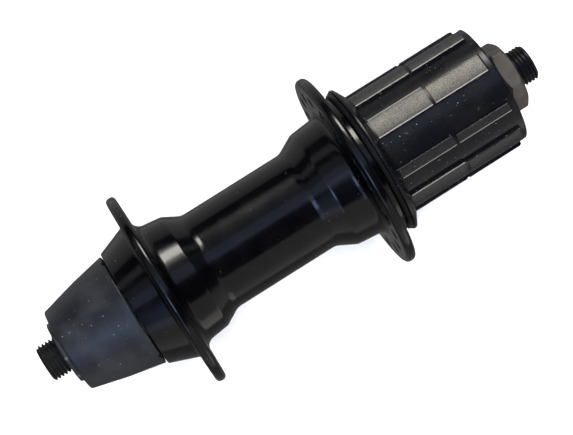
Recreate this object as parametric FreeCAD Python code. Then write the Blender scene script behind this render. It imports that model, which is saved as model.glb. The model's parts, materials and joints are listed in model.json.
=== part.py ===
"""Rear bicycle hub for a quick release, with a nine-spline cassette freehub and cup-and-cone bearings.

The frame: origin on the axle's axis, midway between the two locknut faces. +Y points along the axle
to the plain side, so the cassette side is -Y, and +Z is up. With +X forward the wheel rolls forward
about +Y. Sizes are in millimetres.

Most pieces are turned, so they are lathed from an outline of (radius, station[, corner radius]) points.
Angles round the axle are in degrees from +X towards +Z.
"""

import FreeCAD, Part
import math
import os

# ---- overall sizes -------------------------------------------------------------------------------
OVER_LOCKNUT = 135.0            # between the two dropout faces
AXLE_STUB = 5.5                 # axle that stands out of each locknut
AXLE_RADIUS = 5.0               # crests of the axle's thread
AXLE_THREAD_GRIP = 0.325        # crests down to the pitch line, where nuts and cones grip
SKEWER_RADIUS = 2.65            # bore for the quick release skewer
AXLE_CHAMFER = 0.6

# ---- hub shell -----------------------------------------------------------------------------------
FLANGE_RADIUS = 27.25
FLANGE_THICKNESS = 2.8
FLANGE_EDGE = 1.2               # rounding of the flange rims
PLAIN_FLANGE = 37.1             # stations of the flange centres
DRIVE_FLANGE = -19.8
DRIVE_SPOKE_CIRCLE = 22.5       # radii of the two spoke hole circles
PLAIN_SPOKE_CIRCLE = 21.9
SPOKE_HOLE_RADIUS = 1.3
SPOKE_COUNTERSINK = 0.35
SPOKES_PER_FLANGE = 18
SPOKE_PHASE = 6.0               # first hole of the drive flange; the other flange is half a pitch on
WAIST_RADIUS = 13.7
WAIST_PLAIN_END = 24.1
WAIST_DRIVE_END = -5.4
PLAIN_SHOULDER = 28.5           # where each cone meets its barrel
DRIVE_SHOULDER = -10.5
BARREL_WALL = 2.7               # shell outside the bearing cup seat
BARREL_TAPER = 0.9              # how much each barrel thins towards the waist
NOSE_LENGTH = 7.9               # plain flange to the shell's lip
LIP_WALL = 1.4
NOSE_FLARE = 3.0
SHELL_BORE = 8.8
DRIVE_BOSS_RADIUS = 19.3
DRIVE_BOSS_LENGTH = 2.1
BOLT_WEB_INNER = 6.0            # distances from the centre of the web that the fixing bolt screws into
BOLT_WEB_OUTER = 17.0

# ---- cassette splines ----------------------------------------------------------------------------
RIDGE_RADIUS = 17.25
SPLINE_DEPTH = 1.0
SPLINE_LENGTH = 34.8            # from the stop shoulder to the end of the driver
SPLINES = 9
RIDGE_ANGLE = 20.0
KEY_RIDGE_ANGLE = 10.0          # the narrow ridge that keys the cassette
FIRST_RIDGE = 58.8
KEY_RIDGE = 1                   # which ridge is narrow, counted from the first
END_COLLAR = 1.8                # plain collar outboard of the ridges
END_CHAMFER = 0.5
RIDGE_GROOVE_AT = 16.4          # shallow groove round the ridges, from the stop shoulder
RIDGE_GROOVE_WIDTH = 0.6
RIDGE_GROOVE_DEPTH = 0.3
LOCKRING_WALL = 1.05
LOCKRING_DEPTH = 6.6
LOCKRING_STEP = 0.45
DRIVER_FLANGE_RISE = 3.45       # flange over the ridges
DRIVER_FLANGE_EDGE = 0.7        # straight part of its rim
DRIVER_FLANGE_BREAK = 0.3       # chamfer of its inboard edge
DRIVER_BEVEL_LENGTH = 1.5
STOP_RISE = 0.75                # stop shoulder over the ridges
DRIVER_START_GAP = 1.2          # shell boss to the driver's steel
SEAL_LIP = 1.3                  # thickness of the rubber ring on the driver's flange

# ---- bearings ------------------------------------------------------------------------------------
HUB_BALL = 3.175                # radii of the quarter inch and eighth inch balls
FREEHUB_BALL = 1.5875
CUP_WALL = 1.165
CONE_RACE_RISE = 3.2            # cone race, from the ball centre outboard
PLAIN_BALL_INSET = 5.9          # shell lip to the ball centres
DRIVE_BALL_DEPTH = 10.8         # driver's end to the ball centres
CONE_NOSE = 1.9                 # ball centres to the cone's inboard end
RACE_LIP = 0.6                  # how far a race's shoulder rises past the small balls' pitch
CUP_OVERHANG = 0.6              # how far the pressed cup reaches inside the shell's bore
CONE_FLATS = 7.5                # half of the cone spanner size
CONE_BODY_RADIUS = 8.4

# ---- freehub core --------------------------------------------------------------------------------
BOLT_AXLE_GAP = 0.15            # axle to the flats of the bolt's hex socket
BOLT_PASSAGE_STEP = 0.3         # bolt's plain bore past its socket's flats
BOLT_WALL = 2.15
BOLT_HEAD_RISE = 0.8
BOLT_HEAD_LENGTH = 6.0
BOLT_HEAD_GAP = 0.1
BOLT_SEAT_DEPTH = 1.0           # shell's end to the seat under the bolt's head
SPIGOT_RADIUS = 11.9
SPIGOT_KEYS = 12
SPIGOT_KEY_HEIGHT = 0.9
SPIGOT_KEY_ANGLE = 12.0
CORE_THREAD_WALL = 1.4
CORE_THREAD_LENGTH = 5.6
CORE_SEAT_RISE = 1.0
CORE_SHOULDER_INSET = 3.5       # outboard row to the shoulder that the shims lie on
INBOARD_ROW = 3.6               # driver's face to the inboard row of small balls
RATCHET_TEETH = 24
RATCHET_LENGTH = 8.0
RATCHET_HEIGHT = 1.2
RATCHET_LAND = 1.0              # degrees of crest on each tooth
RATCHET_SLACK = 0.6             # degrees between a lifted pawl and the tooth that it drives
OUTBOARD_ROW = 7.0              # hub balls to the outboard row of small balls
SHIM_THICKNESS = 0.3
SHIMS = 2

# ---- pawls ---------------------------------------------------------------------------------------
PAWL_WIDTH = 6.0
PAWL_HEEL = 1.7
PAWL_PIVOT_INSET = 1.4
PAWL_REACH = 6.8
PAWL_NOSE_REACH = 5.2
PAWL_DEPTH = 2.1
PAWL_LIFT = 10.0                # degrees from riding on the teeth to fully engaged
PAWL_ANGLES = (20.0, 200.0)
SPRING_WIRE = 0.4
SPRING_GAP_ANGLE = 14.0

# ---- nuts, washers and rubber --------------------------------------------------------------------
NUT_FLATS = 8.5                 # half across the flats
NUT_LEAD_GAP = 0.1              # axle's crests to the wide end of the chamfer in a nut's bore
PLAIN_NUT_LENGTH = 6.0
PLAIN_NUT_COLLAR = 2.0          # round collar outboard of its hexagon
DRIVE_NUT_LENGTH = 4.3
DRIVE_NUT_CORNER = 53.0         # angle of one corner
WASHER_RADIUS = 8.0
PLAIN_WASHER = 1.4
SPACER_RADIUS = 7.6
CONE_LENGTH_PLAIN = 11.9
CONE_LENGTH_DRIVE = 11.6
CAP_THICKNESS = 0.8             # pressed caps over the hub balls
CAP_SKIRT = 2.2
SHIELD_THICKNESS = 0.6          # thin shield on each cone
SHIELD_GAP = 0.5                # between a cap and the shield outboard of it
BOOT_WALL = 2.0
BOOT_TIP_RADIUS = 11.4
BOOT_TIP_INSET = 1.1            # locknut face to the boot's end
BOOT_LIP = 0.9
BOOT_CROWN = 0.25               # how far the boot bulges past a straight cone

# ---- clearances ----------------------------------------------------------------------------------
THREAD_GAP = 0.02
SEAT_GAP = 0.02
RACE_GAP = 0.06
RUNNING_GAP = 0.35
PAWL_GAP = 0.05
PAWL_CREST_GAP = 0.18

# ---- sizes that follow from the ones above ---------------------------------------------------------
FACE = OVER_LOCKNUT / 2
ROOT_RADIUS = RIDGE_RADIUS - SPLINE_DEPTH
LOCKRING_RADIUS = ROOT_RADIUS - LOCKRING_WALL
DRIVER_BORE = LOCKRING_RADIUS - LOCKRING_STEP
CUP_RADIUS = DRIVER_BORE - RUNNING_GAP
HUB_PITCH = CUP_RADIUS - CUP_WALL - RACE_GAP - HUB_BALL
FREEHUB_PITCH = DRIVER_BORE - 0.2 - RACE_GAP - FREEHUB_BALL
CORE_RADIUS = FREEHUB_PITCH - 0.3
CREST_RADIUS = CORE_RADIUS + 0.6
VALLEY_RADIUS = CREST_RADIUS + RATCHET_HEIGHT
HUB_RACE = HUB_BALL + RACE_GAP
FREEHUB_RACE = FREEHUB_BALL + RACE_GAP
GRIP_RADIUS = AXLE_RADIUS - AXLE_THREAD_GRIP
CONE_BORE = GRIP_RADIUS + THREAD_GAP
NUT_LEAD = AXLE_RADIUS + NUT_LEAD_GAP
NUT_LEAD_DEPTH = NUT_LEAD - CONE_BORE
BOLT_SOCKET = AXLE_RADIUS + BOLT_AXLE_GAP       # half across the flats
BOLT_PASSAGE = BOLT_SOCKET + BOLT_PASSAGE_STEP
BOLT_SHANK_RADIUS = BOLT_PASSAGE + BOLT_WALL
BOLT_HEAD_RADIUS = BOLT_SHANK_RADIUS + BOLT_HEAD_RISE
HEAD_BORE = BOLT_HEAD_RADIUS + BOLT_HEAD_GAP
CORE_THREAD_RADIUS = HEAD_BORE + CORE_THREAD_WALL
CORE_SEAT_RADIUS = CORE_THREAD_RADIUS + CORE_SEAT_RISE
CONE_LIP = HUB_PITCH - 0.3
CAP_FOOT = HUB_BALL + RUNNING_GAP       # caps and shields, from the ball centres outboard
CAP_FACE = CAP_FOOT + CAP_THICKNESS
SHIELD_FOOT = CAP_FACE + SHIELD_GAP

HALF_FLANGE = FLANGE_THICKNESS / 2
LIP = PLAIN_FLANGE + HALF_FLANGE + NOSE_LENGTH
LIP_BORE = CUP_RADIUS + 0.5
LIP_RADIUS = LIP_BORE + LIP_WALL
BARREL_RADIUS = CUP_RADIUS + BARREL_WALL
PLAIN_BALLS = LIP - PLAIN_BALL_INSET
CUP_BOTTOM = PLAIN_BALLS - HUB_RACE - 1.5
CUP_TOP = PLAIN_BALLS + 2.5

# Distances on the drive side are measured from the centre and grow outboard.
SHELL_END = -DRIVE_FLANGE + HALF_FLANGE + DRIVE_BOSS_LENGTH
DRIVER_START = SHELL_END + DRIVER_START_GAP
BOLT_SEAT = SHELL_END + BOLT_SEAT_DEPTH
STOP = DRIVER_START + DRIVER_FLANGE_BREAK + DRIVER_FLANGE_EDGE + DRIVER_BEVEL_LENGTH
DRIVER_END = STOP + SPLINE_LENGTH
FLANGE_RIM = RIDGE_RADIUS + DRIVER_FLANGE_RISE
INNER_ROW = DRIVER_START + INBOARD_ROW
RATCHET_START = INNER_ROW + 2.0
RATCHET_END = RATCHET_START + RATCHET_LENGTH
DRIVE_BALLS = DRIVER_END - DRIVE_BALL_DEPTH
OUTER_ROW = DRIVE_BALLS - OUTBOARD_ROW
PAWL_MIDDLE = (RATCHET_START + RATCHET_END) / 2
PAWL_PIVOT = CORE_RADIUS - PAWL_PIVOT_INSET
CORE_SHOULDER = OUTER_ROW - CORE_SHOULDER_INSET
CORE_THREAD_END = CORE_SHOULDER + CORE_THREAD_LENGTH
CUP_START = CORE_SHOULDER + SHIMS * SHIM_THICKNESS

PLAIN, DRIVE = 1, -1
PIECES = {}


def vector(radius, angle, station):
    """Point at a radius and an angle round the axle."""
    turn = math.radians(angle)
    return FreeCAD.Vector(radius * math.cos(turn), station, radius * math.sin(turn))


def outline(points, side):
    """Closed wire of (radius, station[, corner radius]) points, on the plain or the drive side."""
    corners = []
    for i, point in enumerate(points):
        here, before, after = (
            FreeCAD.Vector(p[0], side * p[1], 0)
            for p in (point, points[i - 1], points[(i + 1) % len(points)])
        )
        if len(point) < 3:
            corners.append((here, None, here))
            continue
        back = (before - here).normalize()
        on = (after - here).normalize()
        half = back.getAngle(on) / 2
        centre = here + (back + on).normalize() * (point[2] / math.sin(half))
        middle = centre + (here - centre).normalize() * point[2]
        reach = point[2] / math.tan(half)
        corners.append((here + back * reach, middle, here + on * reach))
    edges = []
    for i, (first, middle, last) in enumerate(corners):
        if middle is not None:
            edges.append(Part.Arc(first, middle, last).toShape())
        following = corners[(i + 1) % len(corners)][0]
        if (following - last).Length > 1e-6:
            edges.append(Part.makeLine(last, following))
    return Part.Wire(edges)


def lathe(points, side=PLAIN):
    """Solid turned about the axle from an outline."""
    face = Part.Face(outline(points, side))
    return face.revolve(FreeCAD.Vector(0, 0, 0), FreeCAD.Vector(0, 1, 0), 360)


def tube(outer, inner, start, end, side=PLAIN):
    """Plain ring."""
    return lathe([(inner, start), (outer, start), (outer, end), (inner, end)], side)


def rod(radius, start, end, side=PLAIN):
    """Solid cylinder on the axle's axis."""
    low, high = sorted((side * start, side * end))
    return Part.makeCylinder(radius, high - low, FreeCAD.Vector(0, low, 0), FreeCAD.Vector(0, 1, 0))


def prism(corners, start, end):
    """Straight prism along the axle through (x, z) corners."""
    points = [FreeCAD.Vector(x, start, z) for x, z in corners]
    face = Part.Face(Part.makePolygon(points + points[:1]))
    return face.extrude(FreeCAD.Vector(0, end - start, 0))


def sector(inner, outer, first, last, start, end):
    """Part of a ring between two angles."""
    middle = (first + last) / 2
    edges = [
        Part.Arc(*(vector(outer, a, start) for a in (first, middle, last))).toShape(),
        Part.makeLine(vector(outer, last, start), vector(inner, last, start)),
        Part.Arc(*(vector(inner, a, start) for a in (last, middle, first))).toShape(),
        Part.makeLine(vector(inner, first, start), vector(outer, first, start)),
    ]
    return Part.Face(Part.Wire(edges)).extrude(FreeCAD.Vector(0, end - start, 0))


def turned(shape, angle):
    """Copy turned round the axle, from +X towards +Z."""
    copy = shape.copy()
    copy.rotate(FreeCAD.Vector(0, 0, 0), FreeCAD.Vector(0, 1, 0), -angle)
    return copy


def race(pitch, radius, station):
    """Ring-shaped cutter for a ball race."""
    return Part.makeTorus(pitch, radius, FreeCAD.Vector(0, station, 0), FreeCAD.Vector(0, 1, 0))


def hexagon(flats, start, end, corner=30.0):
    """Hexagonal prism along the axle; flats is half across the flats."""
    reach = flats / math.cos(math.radians(30))
    turns = [math.radians(corner + 60 * i) for i in range(6)]
    return prism([(reach * math.cos(t), reach * math.sin(t)) for t in turns], start, end)


def ball_ring(ball, pitch, station, first=0.0):
    """A full set of loose balls round a race."""
    count = int(math.pi / math.asin((ball + RACE_GAP / 2) / pitch))
    turns = [first + 360.0 * i / count for i in range(count)]
    return Part.makeCompound([Part.makeSphere(ball, vector(pitch, a, station)) for a in turns])


def keep(name, shape):
    """Adds a piece under its node name."""
    PIECES[name] = shape


# ---- the shell and what is pressed into it ---------------------------------------------------------
def spoke_holes(station, circle, first):
    """Cutters for one flange's spoke holes, each with a small countersink on both faces."""
    cutters = []
    depth = HALF_FLANGE + 0.01
    wide = SPOKE_HOLE_RADIUS + SPOKE_COUNTERSINK
    for i in range(SPOKES_PER_FLANGE):
        middle = vector(circle, first + 360.0 * i / SPOKES_PER_FLANGE, station)
        for way in (1, -1):
            axis = FreeCAD.Vector(0, way, 0)
            cutters.append(Part.makeCylinder(SPOKE_HOLE_RADIUS, depth + 3, middle, axis))
            sink = middle + axis * (depth - SPOKE_COUNTERSINK)
            cutters.append(Part.makeCone(SPOKE_HOLE_RADIUS, wide, SPOKE_COUNTERSINK, sink, axis))
    return cutters


def hub_shell():
    """One-piece alloy shell: two spoke flanges, stepped barrel, cup seat and bolt web."""
    plain_face = PLAIN_FLANGE + HALF_FLANGE
    plain_back = PLAIN_FLANGE - HALF_FLANGE
    drive_back = DRIVE_FLANGE + HALF_FLANGE
    drive_face = DRIVE_FLANGE - HALF_FLANGE
    body = lathe([
        (LIP_BORE, LIP),
        (LIP_RADIUS, LIP, 0.3),
        (LIP_RADIUS + NOSE_FLARE, plain_face, 1.0),
        (FLANGE_RADIUS, plain_face, FLANGE_EDGE),
        (FLANGE_RADIUS, plain_back, FLANGE_EDGE),
        (BARREL_RADIUS, plain_back, 2.6),
        (BARREL_RADIUS - BARREL_TAPER, PLAIN_SHOULDER, 2.5),
        (WAIST_RADIUS, WAIST_PLAIN_END, 5.0),
        (WAIST_RADIUS, WAIST_DRIVE_END, 5.0),
        (BARREL_RADIUS - BARREL_TAPER + 0.2, DRIVE_SHOULDER, 2.5),
        (BARREL_RADIUS + 0.1, drive_back, 2.2),
        (FLANGE_RADIUS, drive_back, FLANGE_EDGE),
        (FLANGE_RADIUS, drive_face, FLANGE_EDGE),
        (DRIVE_BOSS_RADIUS + 0.2, drive_face, 0.6),
        (DRIVE_BOSS_RADIUS, -SHELL_END, 0.4),
        (SPIGOT_RADIUS + SEAT_GAP, -SHELL_END),
        (SPIGOT_RADIUS + SEAT_GAP, -BOLT_WEB_OUTER),
        (BOLT_SHANK_RADIUS + THREAD_GAP, -BOLT_WEB_OUTER),
        (BOLT_SHANK_RADIUS + THREAD_GAP, -BOLT_WEB_INNER),
        (SHELL_BORE, -BOLT_WEB_INNER),
        (SHELL_BORE, CUP_BOTTOM - SEAT_GAP),
        (CUP_RADIUS + SEAT_GAP, CUP_BOTTOM - SEAT_GAP),
        (CUP_RADIUS + SEAT_GAP, CUP_TOP),
        (LIP_BORE, CUP_TOP),
    ])
    half_pitch = 180.0 / SPOKES_PER_FLANGE
    cutters = spoke_holes(PLAIN_FLANGE, PLAIN_SPOKE_CIRCLE, SPOKE_PHASE + half_pitch)
    cutters += spoke_holes(DRIVE_FLANGE, DRIVE_SPOKE_CIRCLE, SPOKE_PHASE)
    slot_top = SPIGOT_RADIUS + SPIGOT_KEY_HEIGHT + SEAT_GAP
    half_slot = SPIGOT_KEY_ANGLE / 2 + 0.2
    for i in range(SPIGOT_KEYS):
        middle = 360.0 * i / SPIGOT_KEYS
        cutters.append(sector(SPIGOT_RADIUS - 0.5, slot_top, middle - half_slot, middle + half_slot,
                              -SHELL_END - 0.1, -BOLT_WEB_OUTER))
    return body.cut(cutters)


def left_bearing_cup():
    """Hardened cup pressed into the shell on the plain side."""
    blank = lathe([
        (SHELL_BORE - CUP_OVERHANG, CUP_BOTTOM),
        (CUP_RADIUS, CUP_BOTTOM, 0.4),
        (CUP_RADIUS, CUP_TOP - SEAT_GAP),
        (HUB_PITCH + HUB_RACE, CUP_TOP - SEAT_GAP),
        (HUB_PITCH + HUB_RACE, PLAIN_BALLS),
        (HUB_PITCH, PLAIN_BALLS - HUB_RACE),
        (SHELL_BORE - CUP_OVERHANG, PLAIN_BALLS - HUB_RACE),
    ])
    return blank.cut(race(HUB_PITCH, HUB_RACE, PLAIN_BALLS))


def left_dust_cap():
    """Pressed steel cap in the shell's lip, outboard of the cup."""
    foot = PLAIN_BALLS + CAP_FOOT
    face = PLAIN_BALLS + CAP_FACE
    outer = LIP_BORE - SEAT_GAP
    inner = CONE_LIP + RUNNING_GAP
    return lathe([
        (inner, foot),
        (outer, foot, 0.5),
        (outer, foot + CAP_SKIRT),
        (outer - CAP_THICKNESS, foot + CAP_SKIRT),
        (outer - CAP_THICKNESS, face, 0.3),
        (inner, face),
    ])


def freehub_fixing_bolt():
    """Hollow bolt that clamps the freehub core into the shell, with a hex socket in its head."""
    top = BOLT_SEAT + BOLT_HEAD_LENGTH
    blank = lathe([
        (BOLT_PASSAGE, BOLT_WEB_INNER + 0.3),
        (BOLT_SHANK_RADIUS, BOLT_WEB_INNER + 0.3, 0.4),
        (BOLT_SHANK_RADIUS, BOLT_SEAT),
        (BOLT_HEAD_RADIUS, BOLT_SEAT),
        (BOLT_HEAD_RADIUS, top, 0.5),
        (BOLT_SOCKET - 1, top),
        (BOLT_SOCKET - 1, BOLT_SEAT),
        (BOLT_PASSAGE, BOLT_SEAT),
    ], DRIVE)
    return blank.cut(hexagon(BOLT_SOCKET, -top - 1, -BOLT_SEAT + 1, corner=0.0))


# ---- the freehub -----------------------------------------------------------------------------------
def pawl_tip():
    """Folded pawl tip as (x, z) from its pivot: it lies just under the ratchet's crests."""
    rider = CREST_RADIUS - PAWL_CREST_GAP
    return math.sqrt(rider ** 2 - PAWL_REACH ** 2) - PAWL_PIVOT, PAWL_REACH


def spring_channel(low, high, half_width):
    """Ring that the pawl spring runs in."""
    return tube(high, low, PAWL_MIDDLE - half_width, PAWL_MIDDLE + half_width, DRIVE)


def pawl(angle):
    """Ratchet pawl with a round heel, folded down, and a slot for the spring."""
    start = -PAWL_MIDDLE - PAWL_WIDTH / 2
    heel = Part.makeCylinder(PAWL_HEEL, PAWL_WIDTH, FreeCAD.Vector(PAWL_PIVOT, start, 0),
                             FreeCAD.Vector(0, 1, 0))
    tip_x, tip_z = pawl_tip()
    corners = [
        (PAWL_PIVOT + PAWL_HEEL * 0.9, PAWL_HEEL * 0.4),
        (PAWL_PIVOT + tip_x, tip_z),
        (PAWL_PIVOT - PAWL_DEPTH, PAWL_NOSE_REACH),
        (PAWL_PIVOT - PAWL_HEEL * 0.95, PAWL_HEEL * 0.3),
    ]
    arm = prism(corners, start, start + PAWL_WIDTH)
    slot = spring_channel(PAWL_PIVOT - 4, PAWL_PIVOT + 0.7, SPRING_WIRE + 0.15)
    return turned(heel.fuse(arm).cut(slot).removeSplitter(), angle)


def pawl_spring():
    """Open ring of spring wire that lies in the core's groove and lifts both pawls."""
    ring = race(PAWL_PIVOT - 0.2, SPRING_WIRE, -PAWL_MIDDLE)
    middle = (PAWL_ANGLES[0] + PAWL_ANGLES[1]) / 2
    gap = sector(PAWL_PIVOT - 3, PAWL_PIVOT + 3, middle - SPRING_GAP_ANGLE / 2,
                 middle + SPRING_GAP_ANGLE / 2, -PAWL_MIDDLE - 2, -PAWL_MIDDLE + 2)
    return ring.cut(gap)


def freehub_core():
    """Pawl carrier: keyed into the shell, with the inboard race, pawl pockets and cup thread."""
    body = lathe([
        (BOLT_SHANK_RADIUS + THREAD_GAP, BOLT_WEB_OUTER + SEAT_GAP),
        (SPIGOT_RADIUS, BOLT_WEB_OUTER + SEAT_GAP, 0.4),
        (SPIGOT_RADIUS, SHELL_END + 0.3),
        (FREEHUB_PITCH + RACE_LIP, SHELL_END + 0.3),
        (FREEHUB_PITCH + RACE_LIP, INNER_ROW - 1.4),
        (FREEHUB_PITCH - FREEHUB_RACE, INNER_ROW),
        (FREEHUB_PITCH - FREEHUB_RACE, INNER_ROW + 1.4),
        (CORE_RADIUS, RATCHET_START, 0.3),
        (CORE_RADIUS, RATCHET_END, 0.5),
        (CORE_SEAT_RADIUS, RATCHET_END + 1.5),
        (CORE_SEAT_RADIUS, CORE_SHOULDER),
        (CORE_THREAD_RADIUS, CORE_SHOULDER),
        (CORE_THREAD_RADIUS, CORE_THREAD_END, 0.3),
        (HEAD_BORE, CORE_THREAD_END),
        (HEAD_BORE, BOLT_SEAT),
        (BOLT_SHANK_RADIUS + THREAD_GAP, BOLT_SEAT),
    ], DRIVE)
    keys = []
    half_key = SPIGOT_KEY_ANGLE / 2
    for i in range(SPIGOT_KEYS):
        middle = 360.0 * i / SPIGOT_KEYS
        keys.append(sector(SPIGOT_RADIUS - 1, SPIGOT_RADIUS + SPIGOT_KEY_HEIGHT, middle - half_key,
                           middle + half_key, -SHELL_END + 0.2, -BOLT_WEB_OUTER - 0.6))
    body = body.fuse(keys)
    cutters = [race(FREEHUB_PITCH, FREEHUB_RACE, -INNER_ROW)]
    low = -PAWL_MIDDLE - PAWL_WIDTH / 2 - 0.1
    high = -PAWL_MIDDLE + PAWL_WIDTH / 2 + 0.1
    floor = [(PAWL_PIVOT - 1.75, 0.0), (PAWL_PIVOT - 2.35, PAWL_REACH + 0.45),
             (PAWL_PIVOT + 4, PAWL_REACH + 0.45), (PAWL_PIVOT + 4, 0.0)]
    for angle in PAWL_ANGLES:
        socket = Part.makeCylinder(PAWL_HEEL + PAWL_GAP, high - low,
                                   FreeCAD.Vector(PAWL_PIVOT, low, 0), FreeCAD.Vector(0, 1, 0))
        cutters.append(turned(socket, angle))
        cutters.append(turned(prism(floor, low, high), angle))
    cutters.append(spring_channel(PAWL_PIVOT - 0.7, CORE_RADIUS + 1, SPRING_WIRE + 0.1))
    return body.cut(cutters).removeSplitter()


def freehub_shims():
    """Thin rings that set the freehub's play."""
    rings = []
    for i in range(SHIMS):
        start = CORE_SHOULDER + i * SHIM_THICKNESS
        rings.append(tube(CORE_SEAT_RADIUS - 0.1, CORE_THREAD_RADIUS + THREAD_GAP,
                          start, start + SHIM_THICKNESS, DRIVE))
    return Part.makeCompound(rings)


def freehub_bearing_cup():
    """Left-hand threaded cup on the core: race for the small balls outside, the hub balls' cup inside."""
    bottom = CORE_THREAD_END + 0.2
    top = DRIVE_BALLS + CAP_FACE
    blank = lathe([
        (CORE_THREAD_RADIUS + THREAD_GAP, CUP_START),
        (FREEHUB_PITCH - FREEHUB_RACE, CUP_START),
        (FREEHUB_PITCH - FREEHUB_RACE, OUTER_ROW),
        (FREEHUB_PITCH + RACE_LIP, OUTER_ROW + 1.4),
        (CUP_RADIUS, OUTER_ROW + 2.4),
        (CUP_RADIUS, top, 0.3),
        (HUB_PITCH + HUB_RACE, top),
        (HUB_PITCH + HUB_RACE, DRIVE_BALLS),
        (HUB_PITCH, DRIVE_BALLS - HUB_RACE),
        (HEAD_BORE, DRIVE_BALLS - HUB_RACE),
        (HEAD_BORE, bottom),
        (CORE_THREAD_RADIUS + THREAD_GAP, bottom),
    ], DRIVE)
    cutters = [race(FREEHUB_PITCH, FREEHUB_RACE, -OUTER_ROW), race(HUB_PITCH, HUB_RACE, -DRIVE_BALLS)]
    for side in (1, -1):
        notch = Part.makeBox(3.0, 1.6, 4.0, FreeCAD.Vector(-1.5, -top - 0.1, -2.0))
        notch.translate(FreeCAD.Vector(side * CUP_RADIUS, 0, 0))
        cutters.append(notch)
    return blank.cut(cutters)


def freehub_dust_cap():
    """Pressed ring over the cup's mouth that keeps grit off the hub balls."""
    foot = DRIVE_BALLS + CAP_FOOT
    face = DRIVE_BALLS + CAP_FACE
    outer = HUB_PITCH + HUB_RACE - SEAT_GAP
    inner = CONE_LIP + RUNNING_GAP
    return lathe([(inner, foot), (outer, foot, 0.3), (outer, face), (inner, face)], DRIVE)


def ratchet_ring():
    """Cutter for the driver's saw teeth. Their steep faces follow the arc that a pawl's tip swings on."""
    tip_x, tip_z = pawl_tip()
    lift = math.radians(PAWL_LIFT)
    x = PAWL_PIVOT + tip_x * math.cos(lift) + tip_z * math.sin(lift)
    z = tip_z * math.cos(lift) - tip_x * math.sin(lift)
    folded = math.degrees(math.atan2(tip_z, PAWL_PIVOT + tip_x))
    lifted = math.degrees(math.atan2(z, x))
    rise = math.hypot(x, z) - math.hypot(PAWL_PIVOT + tip_x, tip_z)
    lean = (folded - lifted) / rise
    corners = []
    for i in range(RATCHET_TEETH):
        tip = PAWL_ANGLES[0] + lifted + RATCHET_SLACK + i * 360.0 / RATCHET_TEETH
        root = tip + lean * (math.hypot(x, z) - VALLEY_RADIUS)
        crest = tip + lean * (math.hypot(x, z) - CREST_RADIUS)
        for radius, angle in ((VALLEY_RADIUS, root), (CREST_RADIUS, crest),
                              (CREST_RADIUS, crest + RATCHET_LAND)):
            point = vector(radius, angle, 0)
            corners.append((point.x, point.z))
    return prism(corners, -RATCHET_END, -RATCHET_START)


def freehub_driver():
    """Splined outer body that carries the cassette, with the ratchet and two small races inside."""
    bore = DRIVER_BORE
    crest = CREST_RADIUS + 0.1
    face = DRIVER_START
    body = lathe([
        (bore, face),
        (FLANGE_RIM - 2 * DRIVER_FLANGE_BREAK, face),
        (FLANGE_RIM, face + DRIVER_FLANGE_BREAK),
        (FLANGE_RIM, face + DRIVER_FLANGE_BREAK + DRIVER_FLANGE_EDGE, 0.3),
        (RIDGE_RADIUS + STOP_RISE, STOP),
        (ROOT_RADIUS, STOP, 0.2),
        (ROOT_RADIUS, DRIVER_END, END_CHAMFER),
        (LOCKRING_RADIUS, DRIVER_END),
        (LOCKRING_RADIUS, DRIVER_END - LOCKRING_DEPTH),
        (bore, DRIVER_END - LOCKRING_DEPTH - 0.5),
        (bore, OUTER_ROW + 0.3),
        (crest, OUTER_ROW - 1.3),
        (crest, RATCHET_END),
        (CREST_RADIUS - 0.05, RATCHET_END),
        (CREST_RADIUS - 0.05, RATCHET_START),
        (crest, INNER_ROW + 1.3),
        (bore, INNER_ROW - 0.3),
    ], DRIVE)
    ridges = []
    for i in range(SPLINES):
        last = FIRST_RIDGE + RIDGE_ANGLE + 360.0 * i / SPLINES
        width = KEY_RIDGE_ANGLE if i == KEY_RIDGE else RIDGE_ANGLE
        ridges.append(sector(ROOT_RADIUS - 0.5, RIDGE_RADIUS, last - width, last,
                             -DRIVER_END + END_COLLAR, -STOP + 0.5))
    groove_start = STOP + RIDGE_GROOVE_AT
    cutters = [
        ratchet_ring(),
        race(FREEHUB_PITCH, FREEHUB_RACE, -INNER_ROW),
        race(FREEHUB_PITCH, FREEHUB_RACE, -OUTER_ROW),
        tube(RIDGE_RADIUS + 1, RIDGE_RADIUS - RIDGE_GROOVE_DEPTH, groove_start,
             groove_start + RIDGE_GROOVE_WIDTH, DRIVE),
    ]
    return body.fuse(ridges).cut(cutters).removeSplitter()


def freehub_seal_ring():
    """Rubber ring on the driver's inboard face; its lip runs close to the shell's boss."""
    back = DRIVER_START - SEAT_GAP
    front = back - SEAL_LIP + 0.4
    return lathe([
        (DRIVER_BORE + 1.0, back),
        (DRIVER_BORE + 1.0, back - 0.5, 0.2),
        (DRIVE_BOSS_RADIUS - 1.2, back - 0.5),
        (DRIVE_BOSS_RADIUS - 0.5, front, 0.2),
        (FLANGE_RIM - 0.8, front, 0.25),
        (FLANGE_RIM - 0.3, back),
    ], DRIVE)


# ---- the axle and what is screwed on it ------------------------------------------------------------
def hollow_axle():
    """Hollow axle for a quick release skewer.

    Its free ends are drawn at the thread's crests. Between the locknuts' faces it is drawn at the pitch
    line, as the threads of the nuts and cones are.
    """
    end = FACE + AXLE_STUB
    grip = FACE + SEAT_GAP
    return lathe([
        (SKEWER_RADIUS, -end, AXLE_CHAMFER / 3),
        (AXLE_RADIUS - AXLE_CHAMFER, -end),
        (AXLE_RADIUS, -end + AXLE_CHAMFER),
        (AXLE_RADIUS, -grip),
        (GRIP_RADIUS, -grip),
        (GRIP_RADIUS, grip),
        (AXLE_RADIUS, grip),
        (AXLE_RADIUS, end - AXLE_CHAMFER),
        (AXLE_RADIUS - AXLE_CHAMFER, end),
        (SKEWER_RADIUS, end, AXLE_CHAMFER / 3),
    ])


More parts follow.
